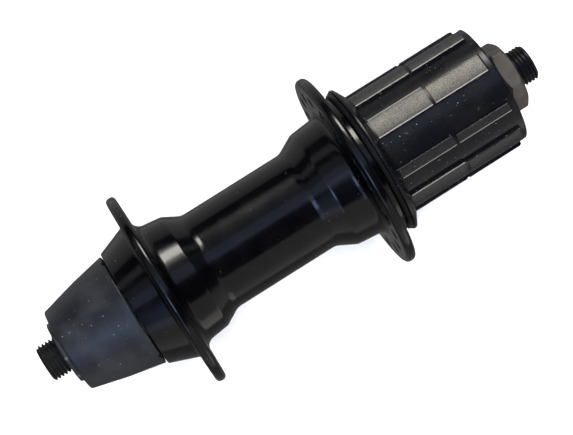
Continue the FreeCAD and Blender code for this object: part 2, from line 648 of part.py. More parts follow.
def cone(balls, length, side):
    """Bearing cone with spanner flats, on either side."""
    neck = HUB_PITCH - HUB_RACE
    end = balls - CONE_NOSE + length
    blank = lathe([
        (CONE_BORE, balls - CONE_NOSE),
        (neck, balls - CONE_NOSE, 0.2),
        (neck, balls),
        (CONE_LIP, balls + CONE_RACE_RISE),
        (CONE_LIP, balls + CONE_RACE_RISE + 0.8, 0.2),
        (CONE_BODY_RADIUS, balls + CONE_RACE_RISE + 0.8),
        (CONE_BODY_RADIUS, end, 0.3),
        (CONE_BORE, end),
    ], side)
    cutters = [race(HUB_PITCH, HUB_RACE, side * balls)]
    flats = balls + SHIELD_FOOT + SHIELD_THICKNESS + 0.2
    low, high = sorted((side * flats, side * (end + 1)))
    for way in (1, -1):
        flat = Part.makeBox(4, high - low, 30, FreeCAD.Vector(-2, low, -15))
        flat.translate(FreeCAD.Vector(way * (CONE_FLATS + 2), 0, 0))
        cutters.append(flat)
    return blank.cut(cutters)


def cone_shield(balls, radius, side):
    """Thin shield on a cone, outboard of the dust cap."""
    start = balls + SHIELD_FOOT
    return lathe([
        (CONE_BODY_RADIUS + SEAT_GAP, start),
        (radius, start),
        (radius, start + SHIELD_THICKNESS, 0.2),
        (CONE_BODY_RADIUS + SEAT_GAP, start + SHIELD_THICKNESS),
    ], side)


def left_locknut():
    """Plain side locknut: a hexagon inside the boot and a round collar against the dropout."""
    inner = FACE - PLAIN_NUT_LENGTH
    collar = FACE - PLAIN_NUT_COLLAR
    corner = NUT_FLATS / math.cos(math.radians(30))
    blank = lathe([
        (CONE_BORE, inner),
        (NUT_FLATS, inner),
        (corner, inner + 0.7),
        (corner, collar),
        (NUT_FLATS, collar),
        (NUT_FLATS, FACE, 0.3),
        (NUT_LEAD, FACE),
        (CONE_BORE, FACE - NUT_LEAD_DEPTH),
    ])
    shaped = hexagon(NUT_FLATS, inner - 1, collar).fuse(rod(NUT_FLATS, collar - 1, FACE + 1))
    return blank.common(shaped).removeSplitter()


def right_locknut():
    """Drive side locknut, a hexagon chamfered on both faces."""
    inner = FACE - DRIVE_NUT_LENGTH
    corner = NUT_FLATS / math.cos(math.radians(30))
    chamfer = corner - NUT_FLATS + 0.3
    blank = lathe([
        (CONE_BORE, inner),
        (NUT_FLATS - 0.3, inner),
        (corner, inner + chamfer * 0.5),
        (corner, FACE - chamfer * 0.7),
        (NUT_FLATS - 0.3, FACE),
        (NUT_LEAD, FACE),
        (CONE_BORE, FACE - NUT_LEAD_DEPTH),
    ], DRIVE)
    return blank.common(hexagon(NUT_FLATS, -FACE - 1, -inner + 1, corner=DRIVE_NUT_CORNER))


def left_seal_boot():
    """Rubber cone over the plain side stack, from the locknut to just clear of the shell's lip."""
    start = LIP + RUNNING_GAP
    end = FACE - BOOT_TIP_INSET
    base = LIP_RADIUS - 0.4
    middle = (start + end) / 2
    middle_radius = (base + BOOT_TIP_RADIUS) / 2 + BOOT_CROWN
    grip = NUT_FLATS / math.cos(math.radians(30)) + SEAT_GAP
    collar = FACE - PLAIN_NUT_COLLAR + SEAT_GAP
    hex_start = FACE - PLAIN_NUT_LENGTH
    return lathe([
        (base - BOOT_WALL, start, 0.3),
        (base, start, 0.4),
        (middle_radius, middle, 40.0),
        (BOOT_TIP_RADIUS, end - 0.2, 0.5),
        (BOOT_TIP_RADIUS - 0.8, end, 0.3),
        (NUT_FLATS + SEAT_GAP, end),
        (NUT_FLATS + SEAT_GAP, collar),
        (grip, collar),
        (grip, hex_start),
        (middle_radius - BOOT_WALL, middle - 1, 5.0),
    ])


def plain_stack():
    """Washer and spacer between the plain side cone and its locknut."""
    cone_end = PLAIN_BALLS - CONE_NOSE + CONE_LENGTH_PLAIN
    washer_end = cone_end + PLAIN_WASHER
    keep("left_lock_washer", tube(WASHER_RADIUS, CONE_BORE, cone_end, washer_end))
    keep("left_spacer", tube(SPACER_RADIUS, CONE_BORE, washer_end, FACE - PLAIN_NUT_LENGTH))


def drive_stack():
    """Washer that fills the space between the drive side cone and its locknut."""
    cone_end = DRIVE_BALLS - CONE_NOSE + CONE_LENGTH_DRIVE
    keep("right_lock_washer", tube(WASHER_RADIUS, CONE_BORE, cone_end, FACE - DRIVE_NUT_LENGTH, DRIVE))


def build():
    """Makes every piece."""
    keep("hub_shell", hub_shell())
    keep("left_bearing_cup", left_bearing_cup())
    keep("left_dust_cap", left_dust_cap())
    keep("left_bearing_balls", ball_ring(HUB_BALL, HUB_PITCH, PLAIN_BALLS))
    keep("left_cone", cone(PLAIN_BALLS, CONE_LENGTH_PLAIN, PLAIN))
    keep("left_cone_shield", cone_shield(PLAIN_BALLS, LIP_BORE - CAP_THICKNESS - RUNNING_GAP, PLAIN))
    plain_stack()
    keep("left_locknut", left_locknut())
    keep("left_seal_boot", left_seal_boot())
    keep("hollow_axle", hollow_axle())
    keep("freehub_fixing_bolt", freehub_fixing_bolt())
    keep("freehub_core", freehub_core())
    keep("freehub_shims", freehub_shims())
    keep("freehub_bearing_cup", freehub_bearing_cup())
    keep("freehub_dust_cap", freehub_dust_cap())
    keep("freehub_driver", freehub_driver())
    keep("freehub_seal_ring", freehub_seal_ring())
    keep("freehub_balls_inboard", ball_ring(FREEHUB_BALL, FREEHUB_PITCH, -INNER_ROW))
    keep("freehub_balls_outboard", ball_ring(FREEHUB_BALL, FREEHUB_PITCH, -OUTER_ROW))
    keep("pawl_a", pawl(PAWL_ANGLES[0]))
    keep("pawl_b", pawl(PAWL_ANGLES[1]))
    keep("pawl_spring", pawl_spring())
    keep("right_bearing_balls", ball_ring(HUB_BALL, HUB_PITCH, -DRIVE_BALLS))
    keep("right_cone", cone(DRIVE_BALLS, CONE_LENGTH_DRIVE, DRIVE))
    keep("right_cone_shield", cone_shield(DRIVE_BALLS, HUB_PITCH + 2.6, DRIVE))
    drive_stack()
    keep("right_locknut", right_locknut())


build()
os.makedirs("parts", exist_ok=True)
for node, piece in PIECES.items():
    print(f"{node}: {len(piece.Solids)} solid(s), valid {piece.isValid()}, {piece.Volume:.1f} mm3")
    piece.exportStep(f"parts/{node}.step")
print(f"stop shoulder {STOP:.2f}, driver end {DRIVER_END:.2f}, hub balls {DRIVE_BALLS:.2f}, rows "
      f"{INNER_ROW:.2f} {OUTER_ROW:.2f}, ratchet {RATCHET_START:.2f} to {RATCHET_END:.2f}, "
      f"pitches {HUB_PITCH:.3f} {FREEHUB_PITCH:.3f}, pawl pivot {PAWL_PIVOT:.3f} at {PAWL_MIDDLE:.2f}")
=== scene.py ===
"""Looks of a rear bicycle hub: the shell, freehub, axle and rubber boot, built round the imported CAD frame.

The frame is the CAD part's own: the axle lies along Y with the cassette side at -Y, and +Z is up. Sizes in
the classes are in millimetres, and angles are in degrees round the axle, from +X towards +Z.
"""

import json
import logging
import math
from dataclasses import dataclass, field
from enum import Enum

import bmesh
import bpy
from mathutils import Matrix, Vector, noise


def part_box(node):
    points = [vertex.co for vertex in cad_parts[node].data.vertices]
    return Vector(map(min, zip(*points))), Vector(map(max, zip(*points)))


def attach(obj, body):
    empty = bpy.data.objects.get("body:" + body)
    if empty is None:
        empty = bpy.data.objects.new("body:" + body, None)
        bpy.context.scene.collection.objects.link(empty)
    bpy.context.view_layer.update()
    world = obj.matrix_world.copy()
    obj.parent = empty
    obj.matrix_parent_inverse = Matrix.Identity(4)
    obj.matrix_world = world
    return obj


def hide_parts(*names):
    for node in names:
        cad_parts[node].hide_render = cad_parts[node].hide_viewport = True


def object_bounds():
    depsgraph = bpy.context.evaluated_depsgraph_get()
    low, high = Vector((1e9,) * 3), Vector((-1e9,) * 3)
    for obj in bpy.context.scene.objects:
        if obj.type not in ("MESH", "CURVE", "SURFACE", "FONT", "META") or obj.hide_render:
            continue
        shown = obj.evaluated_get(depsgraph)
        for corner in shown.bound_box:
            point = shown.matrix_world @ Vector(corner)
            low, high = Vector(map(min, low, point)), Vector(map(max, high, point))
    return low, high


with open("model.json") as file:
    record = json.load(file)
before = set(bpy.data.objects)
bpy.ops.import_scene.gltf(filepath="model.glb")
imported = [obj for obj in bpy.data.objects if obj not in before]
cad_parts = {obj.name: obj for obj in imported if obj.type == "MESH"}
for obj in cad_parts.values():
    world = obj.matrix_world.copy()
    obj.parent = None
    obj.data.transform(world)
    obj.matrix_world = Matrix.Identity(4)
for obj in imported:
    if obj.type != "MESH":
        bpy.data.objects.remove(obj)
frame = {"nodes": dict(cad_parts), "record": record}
cad_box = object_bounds()

MM = 0.001
SWING = 60.0
log = logging.getLogger("hub")

Colour = tuple[float, float, float]
Point = tuple[float, ...]


class Body(Enum):
    """The rigid bodies that pieces ride on."""

    AXLE = "axle_set"
    SHELL = "shell"
    DRIVER = "driver"


class Cut(Enum):
    """How one solid is combined with another."""

    REMOVE = "DIFFERENCE"
    ADD = "UNION"
    KEEP_COMMON = "INTERSECT"


# ---- outlines and small solids -------------------------------------------------------------------
def rounded(points: list[Point], steps: int = 6) -> list[Point]:
    """Closed outline with its corners rounded.

    Args:
        points: (radius, station[, corner radius]) in millimetres.
        steps: segments in each rounded corner.

    Returns:
        (radius, station) points in millimetres.
    """
    outline: list[Point] = []
    for i, point in enumerate(points):
        here, before, after = (Vector(p[:2]) for p in (point, points[i - 1], points[(i + 1) % len(points)]))
        if len(point) < 3:
            outline.append(tuple(here))
            continue
        back, on = (before - here).normalized(), (after - here).normalized()
        half = back.angle(on) / 2
        reach = point[2] / math.tan(half)
        centre = here + (back + on).normalized() * (point[2] / math.sin(half))
        first, last = here + back * reach - centre, here + on * reach - centre
        sweep = first.angle_signed(last)
        for k in range(steps + 1):
            turn = Matrix.Rotation(-sweep * k / steps, 2)
            outline.append(tuple(centre + turn @ first))
    return outline


def finer(outline: list[Point], start: float, end: float, step: float) -> list[Point]:
    """Outline with extra points along its level runs between two stations.

    Args:
        outline: (radius, station) points.
        start: lower station of the stretch.
        end: upper station of the stretch.
        step: largest distance between points in the stretch.

    Returns:
        The outline with the stretch divided.
    """
    fine: list[Point] = []
    for i, here in enumerate(outline):
        after = outline[(i + 1) % len(outline)]
        fine.append(here)
        run = after[1] - here[1]
        pieces = math.ceil(abs(run) / step)
        for k in range(1, pieces):
            share = k / pieces
            station = here[1] + run * share
            if start < station < end:
                fine.append((here[0] + (after[0] - here[0]) * share, station))
    return fine


def polar(radius: float, angle: float, station: float) -> Point:
    """Point in metres at a radius and station in millimetres and an angle in degrees."""
    turn = math.radians(angle)
    return radius * math.cos(turn) * MM, station * MM, radius * math.sin(turn) * MM


def solid(name: str, rings: list[list[Point]]) -> bpy.types.Object:
    """Closed solid through rings of points, capped at both ends.

    Args:
        name: the object's name.
        rings: equal-length rings of (x, y, z) points in metres.

    Returns:
        The new object, with its faces pointing out.
    """
    count = len(rings[0])
    faces = [tuple(range(count)), tuple(range(len(rings) * count - 1, (len(rings) - 1) * count - 1, -1))]
    for j in range(len(rings) - 1):
        low, high = j * count, (j + 1) * count
        for i in range(count):
            k = (i + 1) % count
            faces.append((low + k, low + i, high + i, high + k))
    mesh = bpy.data.meshes.new(name)
    mesh.from_pydata([p for ring in rings for p in ring], [], faces)
    point_outwards(mesh)
    piece = bpy.data.objects.new(name, mesh)
    bpy.context.collection.objects.link(piece)
    return piece


def point_outwards(mesh: bpy.types.Mesh) -> None:
    """Turns a closed mesh the right way out, if it is inside out.

    Args:
        mesh: the mesh.
    """
    work = bmesh.new()
    work.from_mesh(mesh)
    if work.calc_volume(signed=True) < 0:
        bmesh.ops.reverse_faces(work, faces=work.faces)
    work.to_mesh(mesh)
    work.free()


# ---- node trees ----------------------------------------------------------------------------------
class Nodes:
    """A node tree with short calls to add to it."""

    def __init__(self, tree: bpy.types.NodeTree) -> None:
        """Takes the tree that the calls add to."""
        self.tree = tree

    def node(self, kind: str, inputs: dict | None = None, **settings: object) -> bpy.types.Node:
        """Adds a node.

        Args:
            kind: the node's type.
            inputs: socket name or number to a value or another socket.
            settings: properties of the node.

        Returns:
            The node.
        """
        node = self.tree.nodes.new(kind)
        for key, setting in settings.items():
            setattr(node, key, setting)
        for key, given in (inputs or {}).items():
            self.give(node.inputs[key], given)
        return node

    def give(self, socket: bpy.types.NodeSocket, given: object) -> None:
        """Feeds an input.

        Args:
            socket: the input.
            given: a value, or a socket to link.
        """
        if isinstance(given, bpy.types.NodeSocket):
            self.tree.links.new(given, socket)
        else:
            socket.default_value = given

    def sum(self, operation: str, *terms: object) -> bpy.types.NodeSocket:
        """Result of one math operation on numbers or sockets."""
        return self.node("ShaderNodeMath", dict(enumerate(terms)), operation=operation).outputs[0]

    def parts(self, vector: bpy.types.NodeSocket) -> tuple[bpy.types.NodeSocket, ...]:
        """The X, Y and Z of a vector."""
        return tuple(self.node("ShaderNodeSeparateXYZ", {0: vector}).outputs)

    def length(self, x: bpy.types.NodeSocket, z: bpy.types.NodeSocket) -> bpy.types.NodeSocket:
        """Distance from the axle of a point at X and Z."""
        return self.sum("SQRT", self.sum("MULTIPLY_ADD", x, x, self.sum("MULTIPLY", z, z)))


class Recipe(Nodes):
    """A Geometry Nodes tree with named inputs that makes one piece, grown a step at a time."""

    def __init__(self, name: str) -> None:
        """Starts a tree whose geometry is the outline it is put on."""
        super().__init__(bpy.data.node_groups.new(name, "GeometryNodeTree"))
        self.name = name
        self.tree.is_modifier = True
        self.tree.interface.new_socket("Geometry", in_out="INPUT", socket_type="NodeSocketGeometry")
        self.tree.interface.new_socket("Geometry", in_out="OUTPUT", socket_type="NodeSocketGeometry")
        self.start = self.tree.nodes.new("NodeGroupInput")
        self.end = self.tree.nodes.new("NodeGroupOutput")
        self.flow = self.start.outputs["Geometry"]
        self.values: dict[str, object] = {}
        self.helpers: list[bpy.types.Object] = []

    def value(self, name: str, kind: str, value: object) -> bpy.types.NodeSocket:
        """Adds a named input.

        Args:
            name: what the input is called.
            kind: Float, Int, Object or Material.
            value: what the modifier sets it to.

        Returns:
            The socket that carries it in the tree.
        """
        item = self.tree.interface.new_socket(name, in_out="INPUT", socket_type=f"NodeSocket{kind}")
        self.values[item.identifier] = value
        return next(s for s in self.start.outputs if s.identifier == item.identifier)

    def revolve(self, segments: int) -> None:
        """Turns the outline about the axle.

        Args:
            segments: how many faces go round.
        """
        sides = self.value("Segments", "Int", segments)
        swing = self.value("Swing Radius", "Float", SWING * MM)
        path = self.node("GeometryNodeCurvePrimitiveCircle", {"Resolution": sides, "Radius": swing})
        line = self.node("GeometryNodeMeshToCurve", {"Mesh": self.flow})
        ring = self.node("GeometryNodeCurveToMesh",
                         {"Curve": path.outputs["Curve"], "Profile Curve": line.outputs["Curve"]})
        laid = self.node("GeometryNodeTransform",
                         {"Geometry": ring.outputs["Mesh"], "Rotation": (-math.pi / 2, 0, 0)})
        self.flow = laid.outputs["Geometry"]

    def ring_of(self, label: str, copy: bpy.types.Object, count: int, first: float,
                skip: int | None = None, only: int | None = None) -> bpy.types.NodeSocket:
        """Copies of a small solid, evenly spaced round the axle.

        Args:
            label: name of the ring, for its inputs.
            copy: the solid, modelled at angle 0.
            count: places round the axle.
            first: angle of the first place.
            skip: a place that is left empty.
            only: the one place that is filled.

        Returns:
            The realized copies.
        """
        shape = self.shape_of(label, copy)
        places = self.value(f"{label} Count", "Int", count)
        start = self.value(f"{label} First Angle", "Float", math.radians(first))
        points = self.node("GeometryNodePoints", {"Count": places})
        index = self.node("GeometryNodeInputIndex").outputs[0]
        pitch = self.sum("DIVIDE", 2 * math.pi, places)
        angle = self.sum("MULTIPLY_ADD", index, pitch, start)
        turn = self.node("ShaderNodeCombineXYZ", {"Y": self.sum("MULTIPLY", angle, -1.0)})
        inputs = {"Points": points.outputs[0], "Instance": shape, "Rotation": turn.outputs[0]}
        for test, chosen in (("GREATER_THAN", skip), ("LESS_THAN", only)):
            if chosen is not None:
                apart = self.sum("ABSOLUTE", self.sum("SUBTRACT", index, chosen))
                inputs["Selection"] = self.sum(test, apart, 0.5)
        copies = self.node("GeometryNodeInstanceOnPoints", inputs)
        return self.node("GeometryNodeRealizeInstances", {0: copies.outputs[0]}).outputs[0]

    def combine(self, how: Cut, *others: bpy.types.NodeSocket) -> None:
        """Cuts, joins or intersects the geometry with others.

        Args:
            how: which of the three.
            others: geometry sockets.
        """
        node = self.node("GeometryNodeMeshBoolean", operation=how.value, solver="EXACT")
        if how is Cut.REMOVE:
            self.tree.links.new(self.flow, node.inputs[0])
            rest = others
        else:
            rest = (*others, self.flow)
        for other in rest:
            self.tree.links.new(other, node.inputs[1])
        self.flow = node.outputs[0]

    def shape_of(self, label: str, other: bpy.types.Object) -> bpy.types.NodeSocket:
        """Geometry of another object, as a named input.

        Args:
            label: name of the input.
            other: the object, which is removed once the piece is made.

        Returns:
            Its geometry.
        """
        self.helpers.append(other)
        shape = self.value(f"{label} Shape", "Object", other)
        return self.node("GeometryNodeObjectInfo", {"Object": shape}).outputs["Geometry"]

    def thread(self, crest: float, depth: float, pitch: float, beyond: float, outside: bool = True) -> None:
        """Cuts a screw thread into the surface near a radius.

        Args:
            crest: radius of the thread's crests, or of its roots on an inside thread, in millimetres.
            depth: depth of the thread in millimetres.
            pitch: distance between crests in millimetres.
            beyond: the thread is cut where the station is further than this from the middle.
            outside: whether the thread is on a rod rather than in a hole.
        """
        crest_r = self.value("Thread Crest", "Float", crest * MM)
        deep = self.value("Thread Depth", "Float", depth * MM)
        step = self.value("Thread Pitch", "Float", pitch * MM)
        limit = self.value("Thread Beyond", "Float", beyond * MM)
        place = self.node("GeometryNodeInputPosition").outputs[0]
        x, y, z = self.parts(place)
        radius = self.length(x, z)
        turn = self.sum("DIVIDE", self.sum("ARCTAN2", z, x), 2 * math.pi)
        phase = self.sum("FRACT", self.sum("ADD", self.sum("DIVIDE", y, step), turn))
        height = self.sum("ABSOLUTE", self.sum("MULTIPLY_ADD", phase, 2.0, -1.0))
        flank = self.node("ShaderNodeMapRange", {"Value": height, "From Min": 0.16, "From Max": 0.84})
        flank.interpolation_type = "SMOOTHSTEP"
        rise = self.sum("MULTIPLY", self.sum("SUBTRACT", 1.0, flank.outputs[0]), deep)
        if outside:
            wanted = self.sum("MINIMUM", radius, self.sum("SUBTRACT", crest_r, rise))
        else:
            wanted = self.sum("ADD", radius, rise)
        scale = self.sum("DIVIDE", wanted, radius)
        near = self.sum("LESS_THAN", self.sum("ABSOLUTE", self.sum("SUBTRACT", radius, crest_r)), 0.75 * MM)
        far = self.sum("GREATER_THAN", self.sum("ABSOLUTE", y), limit)
        moved = self.node("ShaderNodeCombineXYZ",
                          {0: self.sum("MULTIPLY", x, scale), 1: y, 2: self.sum("MULTIPLY", z, scale)})
        self.flow = self.node("GeometryNodeSetPosition",
                              {"Geometry": self.flow, "Selection": self.sum("MULTIPLY", near, far),
                               "Position": moved.outputs[0]}).outputs[0]

    def make(self, outline: list[Point], material: bpy.types.Material,
             sharp: float = 32.0) -> bpy.types.Object:
        """Runs the tree on an outline and keeps the result as a plain mesh.

        Args:
            outline: closed (radius, station) outline in millimetres.
            material: the piece's finish.
            sharp: edges that turn by more than this many degrees stay crisp.

        Returns:
            The finished object, at the origin.
        """
        whole = self.node("GeometryNodeRealizeInstances", {0: self.flow}).outputs[0]
        dressed = self.node("GeometryNodeSetMaterial",
                            {"Geometry": whole, "Material": self.value("Finish", "Material", material)})
        self.tree.links.new(dressed.outputs[0], self.end.inputs[0])
        mesh = bpy.data.meshes.new(f"{self.name}_outline")
        count = len(outline)
        mesh.from_pydata([((r - SWING) * MM, -y * MM, 0.0) for r, y in outline],
                         [(i, (i + 1) % count) for i in range(count)], [])
        source = bpy.data.objects.new(f"{self.name}_outline", mesh)
        bpy.context.collection.objects.link(source)
        modifier = source.modifiers.new("recipe", "NODES")
        modifier.node_group = self.tree
        for identifier, given in self.values.items():
            modifier[identifier] = given
        depsgraph = bpy.context.evaluated_depsgraph_get()
        result = bpy.data.meshes.new_from_object(source.evaluated_get(depsgraph))
        result.name = self.name
        for spent in (source, *self.helpers):
            if spent.name in bpy.data.objects:
                bpy.data.objects.remove(spent)
        point_outwards(result)
        result.shade_smooth()
        result.set_sharp_from_angle(angle=math.radians(sharp))
        piece = bpy.data.objects.new(self.name, result)
        bpy.context.collection.objects.link(piece)
        return piece


# ---- finishes ------------------------------------------------------------------------------------
class Shades(Nodes):
    """A material's node tree with short calls for the patterns that the finishes share."""

    def __init__(self, name: str) -> None:
        """Starts a material with a Principled shader."""
        self.material = bpy.data.materials.new(name)
        self.material.use_nodes = True
        super().__init__(self.material.node_tree)
        self.shader = self.tree.nodes["Principled BSDF"]
        self.place = self.tree.nodes.new("ShaderNodeTexCoord").outputs["Object"]

    def spread(self, value: object, low: float, high: float, to_low: float = 0.0,
               to_high: float = 1.0) -> bpy.types.NodeSocket:
        """Value moved smoothly from one range to another.

        Args:
            value: number or socket.
            low: start of its range.
            high: end of its range.
            to_low: result at the start.
            to_high: result at the end.

        Returns:
            The result.
        """
        node = self.node("ShaderNodeMapRange", {"Value": value, "From Min": low, "From Max": high,
                                                "To Min": to_low, "To Max": to_high})
        node.interpolation_type = "SMOOTHSTEP"
        return node.outputs[0]

    def cloud(self, scale: float, detail: float = 3.0, stretch: Point = (1, 1, 1)) -> bpy.types.NodeSocket:
        """Noise stretched along the axes.

        Args:
            scale: cells in a metre.
            detail: octaves of finer noise.
            stretch: factor along each axis.

        Returns:
            The noise, about 0.5.
        """
        place = self.node("ShaderNodeMapping", {"Vector": self.place, "Scale": stretch}).outputs[0]
        inputs = {"Vector": place, "Scale": scale, "Detail": detail}
        return self.node("ShaderNodeTexNoise", inputs).outputs[0]

    def radius(self) -> bpy.types.NodeSocket:
        """Distance from the axle."""
        x, _, z = self.parts(self.place)
        return self.length(x, z)

    def turned(self, scale: float) -> bpy.types.NodeSocket:
        """Fine rings round the axle, as a lathe leaves them, on barrels and faces alike.

        Args:
            scale: rings in a metre.

        Returns:
            The height of the rings, from zero to one.
        """
        way = self.sum("MULTIPLY_ADD", self.radius(), 0.83, self.parts(self.place)[1])
        wander = self.sum("MULTIPLY_ADD", self.cloud(90.0, 2.0), 0.0004, way)
        return self.node("ShaderNodeTexNoise", {"W": wander, "Scale": scale, "Detail": 4.0},
                         noise_dimensions="1D").outputs[0]

    def ridge_wear_and_highlights(self, first: float, step: float) -> tuple[bpy.types.NodeSocket, bpy.types.NodeSocket]:
        """Painted highlights on the ridges: one lit side over real wear, and thin lines on the corners.

        Args:
            first: angle of one corner.
            step: angle between corners.

        Returns:
            How strongly the ridge is painted lit, then one on a corner and zero between corners.
        """
        x, _, z = self.parts(self.place)
        angle = self.sum("ARCTAN2", z, x)
        half = math.radians(step / 2)
        near = self.sum("PINGPONG", self.sum("SUBTRACT", angle, math.radians(first)), half)
        side = self.sum("COSINE", self.sum("SUBTRACT", angle, math.radians(first) + half))
        return self.spread(side, 0.75, 0.97, 0.08, 1.0), self.spread(near, 0.012, 0.024, 1.0, 0.0)

    def specks(self, scale: float, size: float, share: float) -> bpy.types.NodeSocket:
        """Small scattered specks.

        Args:
            scale: cells in a metre.
            size: radius of a speck as part of a cell.
            share: how many of the cells have one.

        Returns:
            One on a speck and zero elsewhere.
        """
        cells = self.node("ShaderNodeTexVoronoi", {"Vector": self.place, "Scale": scale})
        spot = self.spread(cells.outputs["Distance"], size, size * 0.4)
        pick = self.node("ShaderNodeSeparateColor", {0: cells.outputs["Color"]}).outputs[0]
        return self.sum("MULTIPLY", spot, self.sum("LESS_THAN", pick, share))

    def lines(self, scale: float, stretch: Point, width: float) -> bpy.types.NodeSocket:
        """Thin wandering lines, such as scratches."""
        middle = self.sum("ABSOLUTE", self.sum("SUBTRACT", self.cloud(scale, 1.0, stretch), 0.5))
        return self.spread(middle, width, width * 0.3)

    def blend(self, share: object, first: object, second: object) -> bpy.types.NodeSocket:
        """Mix of two colours.

        Args:
            share: how much of the second shows.
            first: colour or socket.
            second: colour or socket.

        Returns:
            The mixed colour.
        """
        node = self.node("ShaderNodeMix", {"Factor": share}, data_type="RGBA")
        for socket, given in ((node.inputs[6], first), (node.inputs[7], second)):
            self.give(socket, (*given, 1.0) if isinstance(given, tuple) else given)
        return node.outputs[2]

    def bump(self, height: object, distance: float) -> None:
        """Adds relief under what is there already.

        Args:
            height: socket from zero to one.
            distance: height of the relief in metres.
        """
        inputs = {"Height": height, "Distance": distance, "Strength": 1.0}
        normal = self.shader.inputs["Normal"]
        if normal.is_linked:
            inputs["Normal"] = normal.links[0].from_socket
        self.give(normal, self.node("ShaderNodeBump", inputs).outputs[0])

    def feed(self, name: str, source: bpy.types.NodeSocket) -> None:
        """Links a socket to the shader."""
        self.tree.links.new(source, self.shader.inputs[name])


@dataclass(frozen=True)
class Finish:
    """What a surface is made of and the marks that making and use left on it, with painted highlights on
    ridged parts.
    """

    name: str
    colour: Colour
    mottle: Colour
    metallic: float = 0.0
    rough: tuple[float, float] = (0.25, 0.4)
    ior: float = 1.5
    mottle_scale: float = 140.0
    turning: float = 0.0
    turning_scale: float = 5200.0
    grain: float = 0.0
    grain_scale: float = 2500.0
    dust: float = 0.25
    dust_size: float = 0.055
    # Dust specks use this colour; on the driver it also paints highlight lines on the ridge corners.
    dust_and_edge_highlight_colour: Colour = (0.30, 0.30, 0.29)
    scratches: float = 0.0
    scratch_colour: Colour = (0.20, 0.19, 0.18)
    wear: float = 0.0
    wear_colour: Colour = (0.35, 0.33, 0.31)
    crown_from: float = 0.0
    crown_beyond: float = 0.0
    corner_first: float = 58.8
    corner_step: float = 20.0
    # Colour of the worn ridge crown, partly real wear and partly painted highlight.
    crown_wear_and_highlight_colour: Colour = (0.12, 0.115, 0.105)
    crown_rough: float = 0.5

    def material(self) -> bpy.types.Material:
        """Builds the finish as a material.

        Returns:
            The material, whose patterns lie on Object coordinates.
        """
        shades = Shades(self.name)
        shades.shader.inputs["Metallic"].default_value = self.metallic
        shades.shader.inputs["IOR"].default_value = self.ior
        blotch = shades.cloud(self.mottle_scale, 4.0)
        colour = shades.blend(shades.spread(blotch, 0.38, 0.66), self.colour, self.mottle)
        rough = shades.spread(blotch, 0.3, 0.7, *self.rough)
        if self.wear:
            patches = shades.spread(shades.cloud(520.0, 6.0, (1, 0.35, 1)), 0.60 - self.wear, 0.72)
            colour = shades.blend(patches, colour, self.wear_colour)
        if self.scratches:
            along = shades.lines(330.0, (1, 0.22, 1.4), 0.006)
            across = shades.lines(260.0, (0.5, 1.6, 0.4), 0.004)
            marks = shades.sum("MULTIPLY", shades.sum("MAXIMUM", along, across), self.scratches)
            marks = shades.sum("MULTIPLY", marks, shades.spread(shades.cloud(170.0), 0.45, 0.62))
            colour = shades.blend(marks, colour, self.scratch_colour)
            rough = shades.sum("MULTIPLY_ADD", marks, 0.25, rough)
            shades.bump(shades.sum("SUBTRACT", 1.0, marks), 0.00003)
        # Ridge tops of the driver: worn, pitted steel that is partly real wear and partly a painted highlight,
        # plus thin painted highlight lines along the ridge corners.
        if self.crown_from:
            worn = shades.sum("MULTIPLY_ADD", shades.cloud(900.0, 5.0), 0.0003, shades.radius())
            ridges = shades.sum("LESS_THAN", shades.parts(shades.place)[1], self.crown_beyond)
            top = shades.spread(worn, self.crown_from, self.crown_from + 0.0001)
            crown = shades.sum("MULTIPLY", top, ridges)
            pits = shades.spread(shades.cloud(5200.0, 3.0), 0.25, 0.60)
            lit_side, corner = shades.ridge_wear_and_highlights(self.corner_first, self.corner_step)
            corner = shades.sum("MULTIPLY", corner, crown)
            # Painted highlight: the crown is painted lighter on the side of the driver where the light falls,
            # over its real wear.
            worn = shades.sum("MULTIPLY", lit_side, crown)
            colour = shades.blend(worn, colour, shades.blend(pits, self.colour, self.crown_wear_and_highlight_colour))
            # Painted highlight lines along the ridge corners, in the dust colour.
            colour = shades.blend(shades.sum("MULTIPLY", corner, 0.4), colour, self.dust_and_edge_highlight_colour)
            rough = shades.sum("MULTIPLY_ADD", worn, self.crown_rough - self.rough[0], rough)
            # The painted lit side of the crown is also made more metallic, away from the corners.
            lit_bare_crown = shades.sum("MULTIPLY", worn, shades.sum("SUBTRACT", 1.0, corner))
            shades.feed("Metallic", shades.spread(lit_bare_crown, 0.0, 1.0, self.metallic, 0.9))
            shades.bump(shades.sum("MULTIPLY", pits, crown), 0.000012)
        if self.turning:
            rings = shades.turned(self.turning_scale)
            rough = shades.sum("MULTIPLY_ADD", shades.sum("SUBTRACT", rings, 0.5), 0.16, rough)
            shades.bump(rings, self.turning)
        if self.grain:
            shades.bump(shades.cloud(self.grain_scale, 5.0), self.grain)
        if self.dust:
            specks = shades.sum("MAXIMUM", shades.specks(480.0, self.dust_size, self.dust),
                                shades.specks(1100.0, 0.10, self.dust * 0.5))
            colour = shades.blend(shades.sum("MULTIPLY", specks, 0.6), colour, self.dust_and_edge_highlight_colour)
            rough = shades.sum("MULTIPLY_ADD", specks, 0.4, rough)
        shades.feed("Base Color", colour)
        shades.feed("Roughness", shades.sum("MAXIMUM", rough, 0.04))
        return shades.material


ANODISED = Finish("gloss_black_anodised", (0.0006, 0.0006, 0.0010), (0.0012, 0.0012, 0.0016), 0.0,
                  (0.13, 0.17), turning=0.000004, dust=0.14)
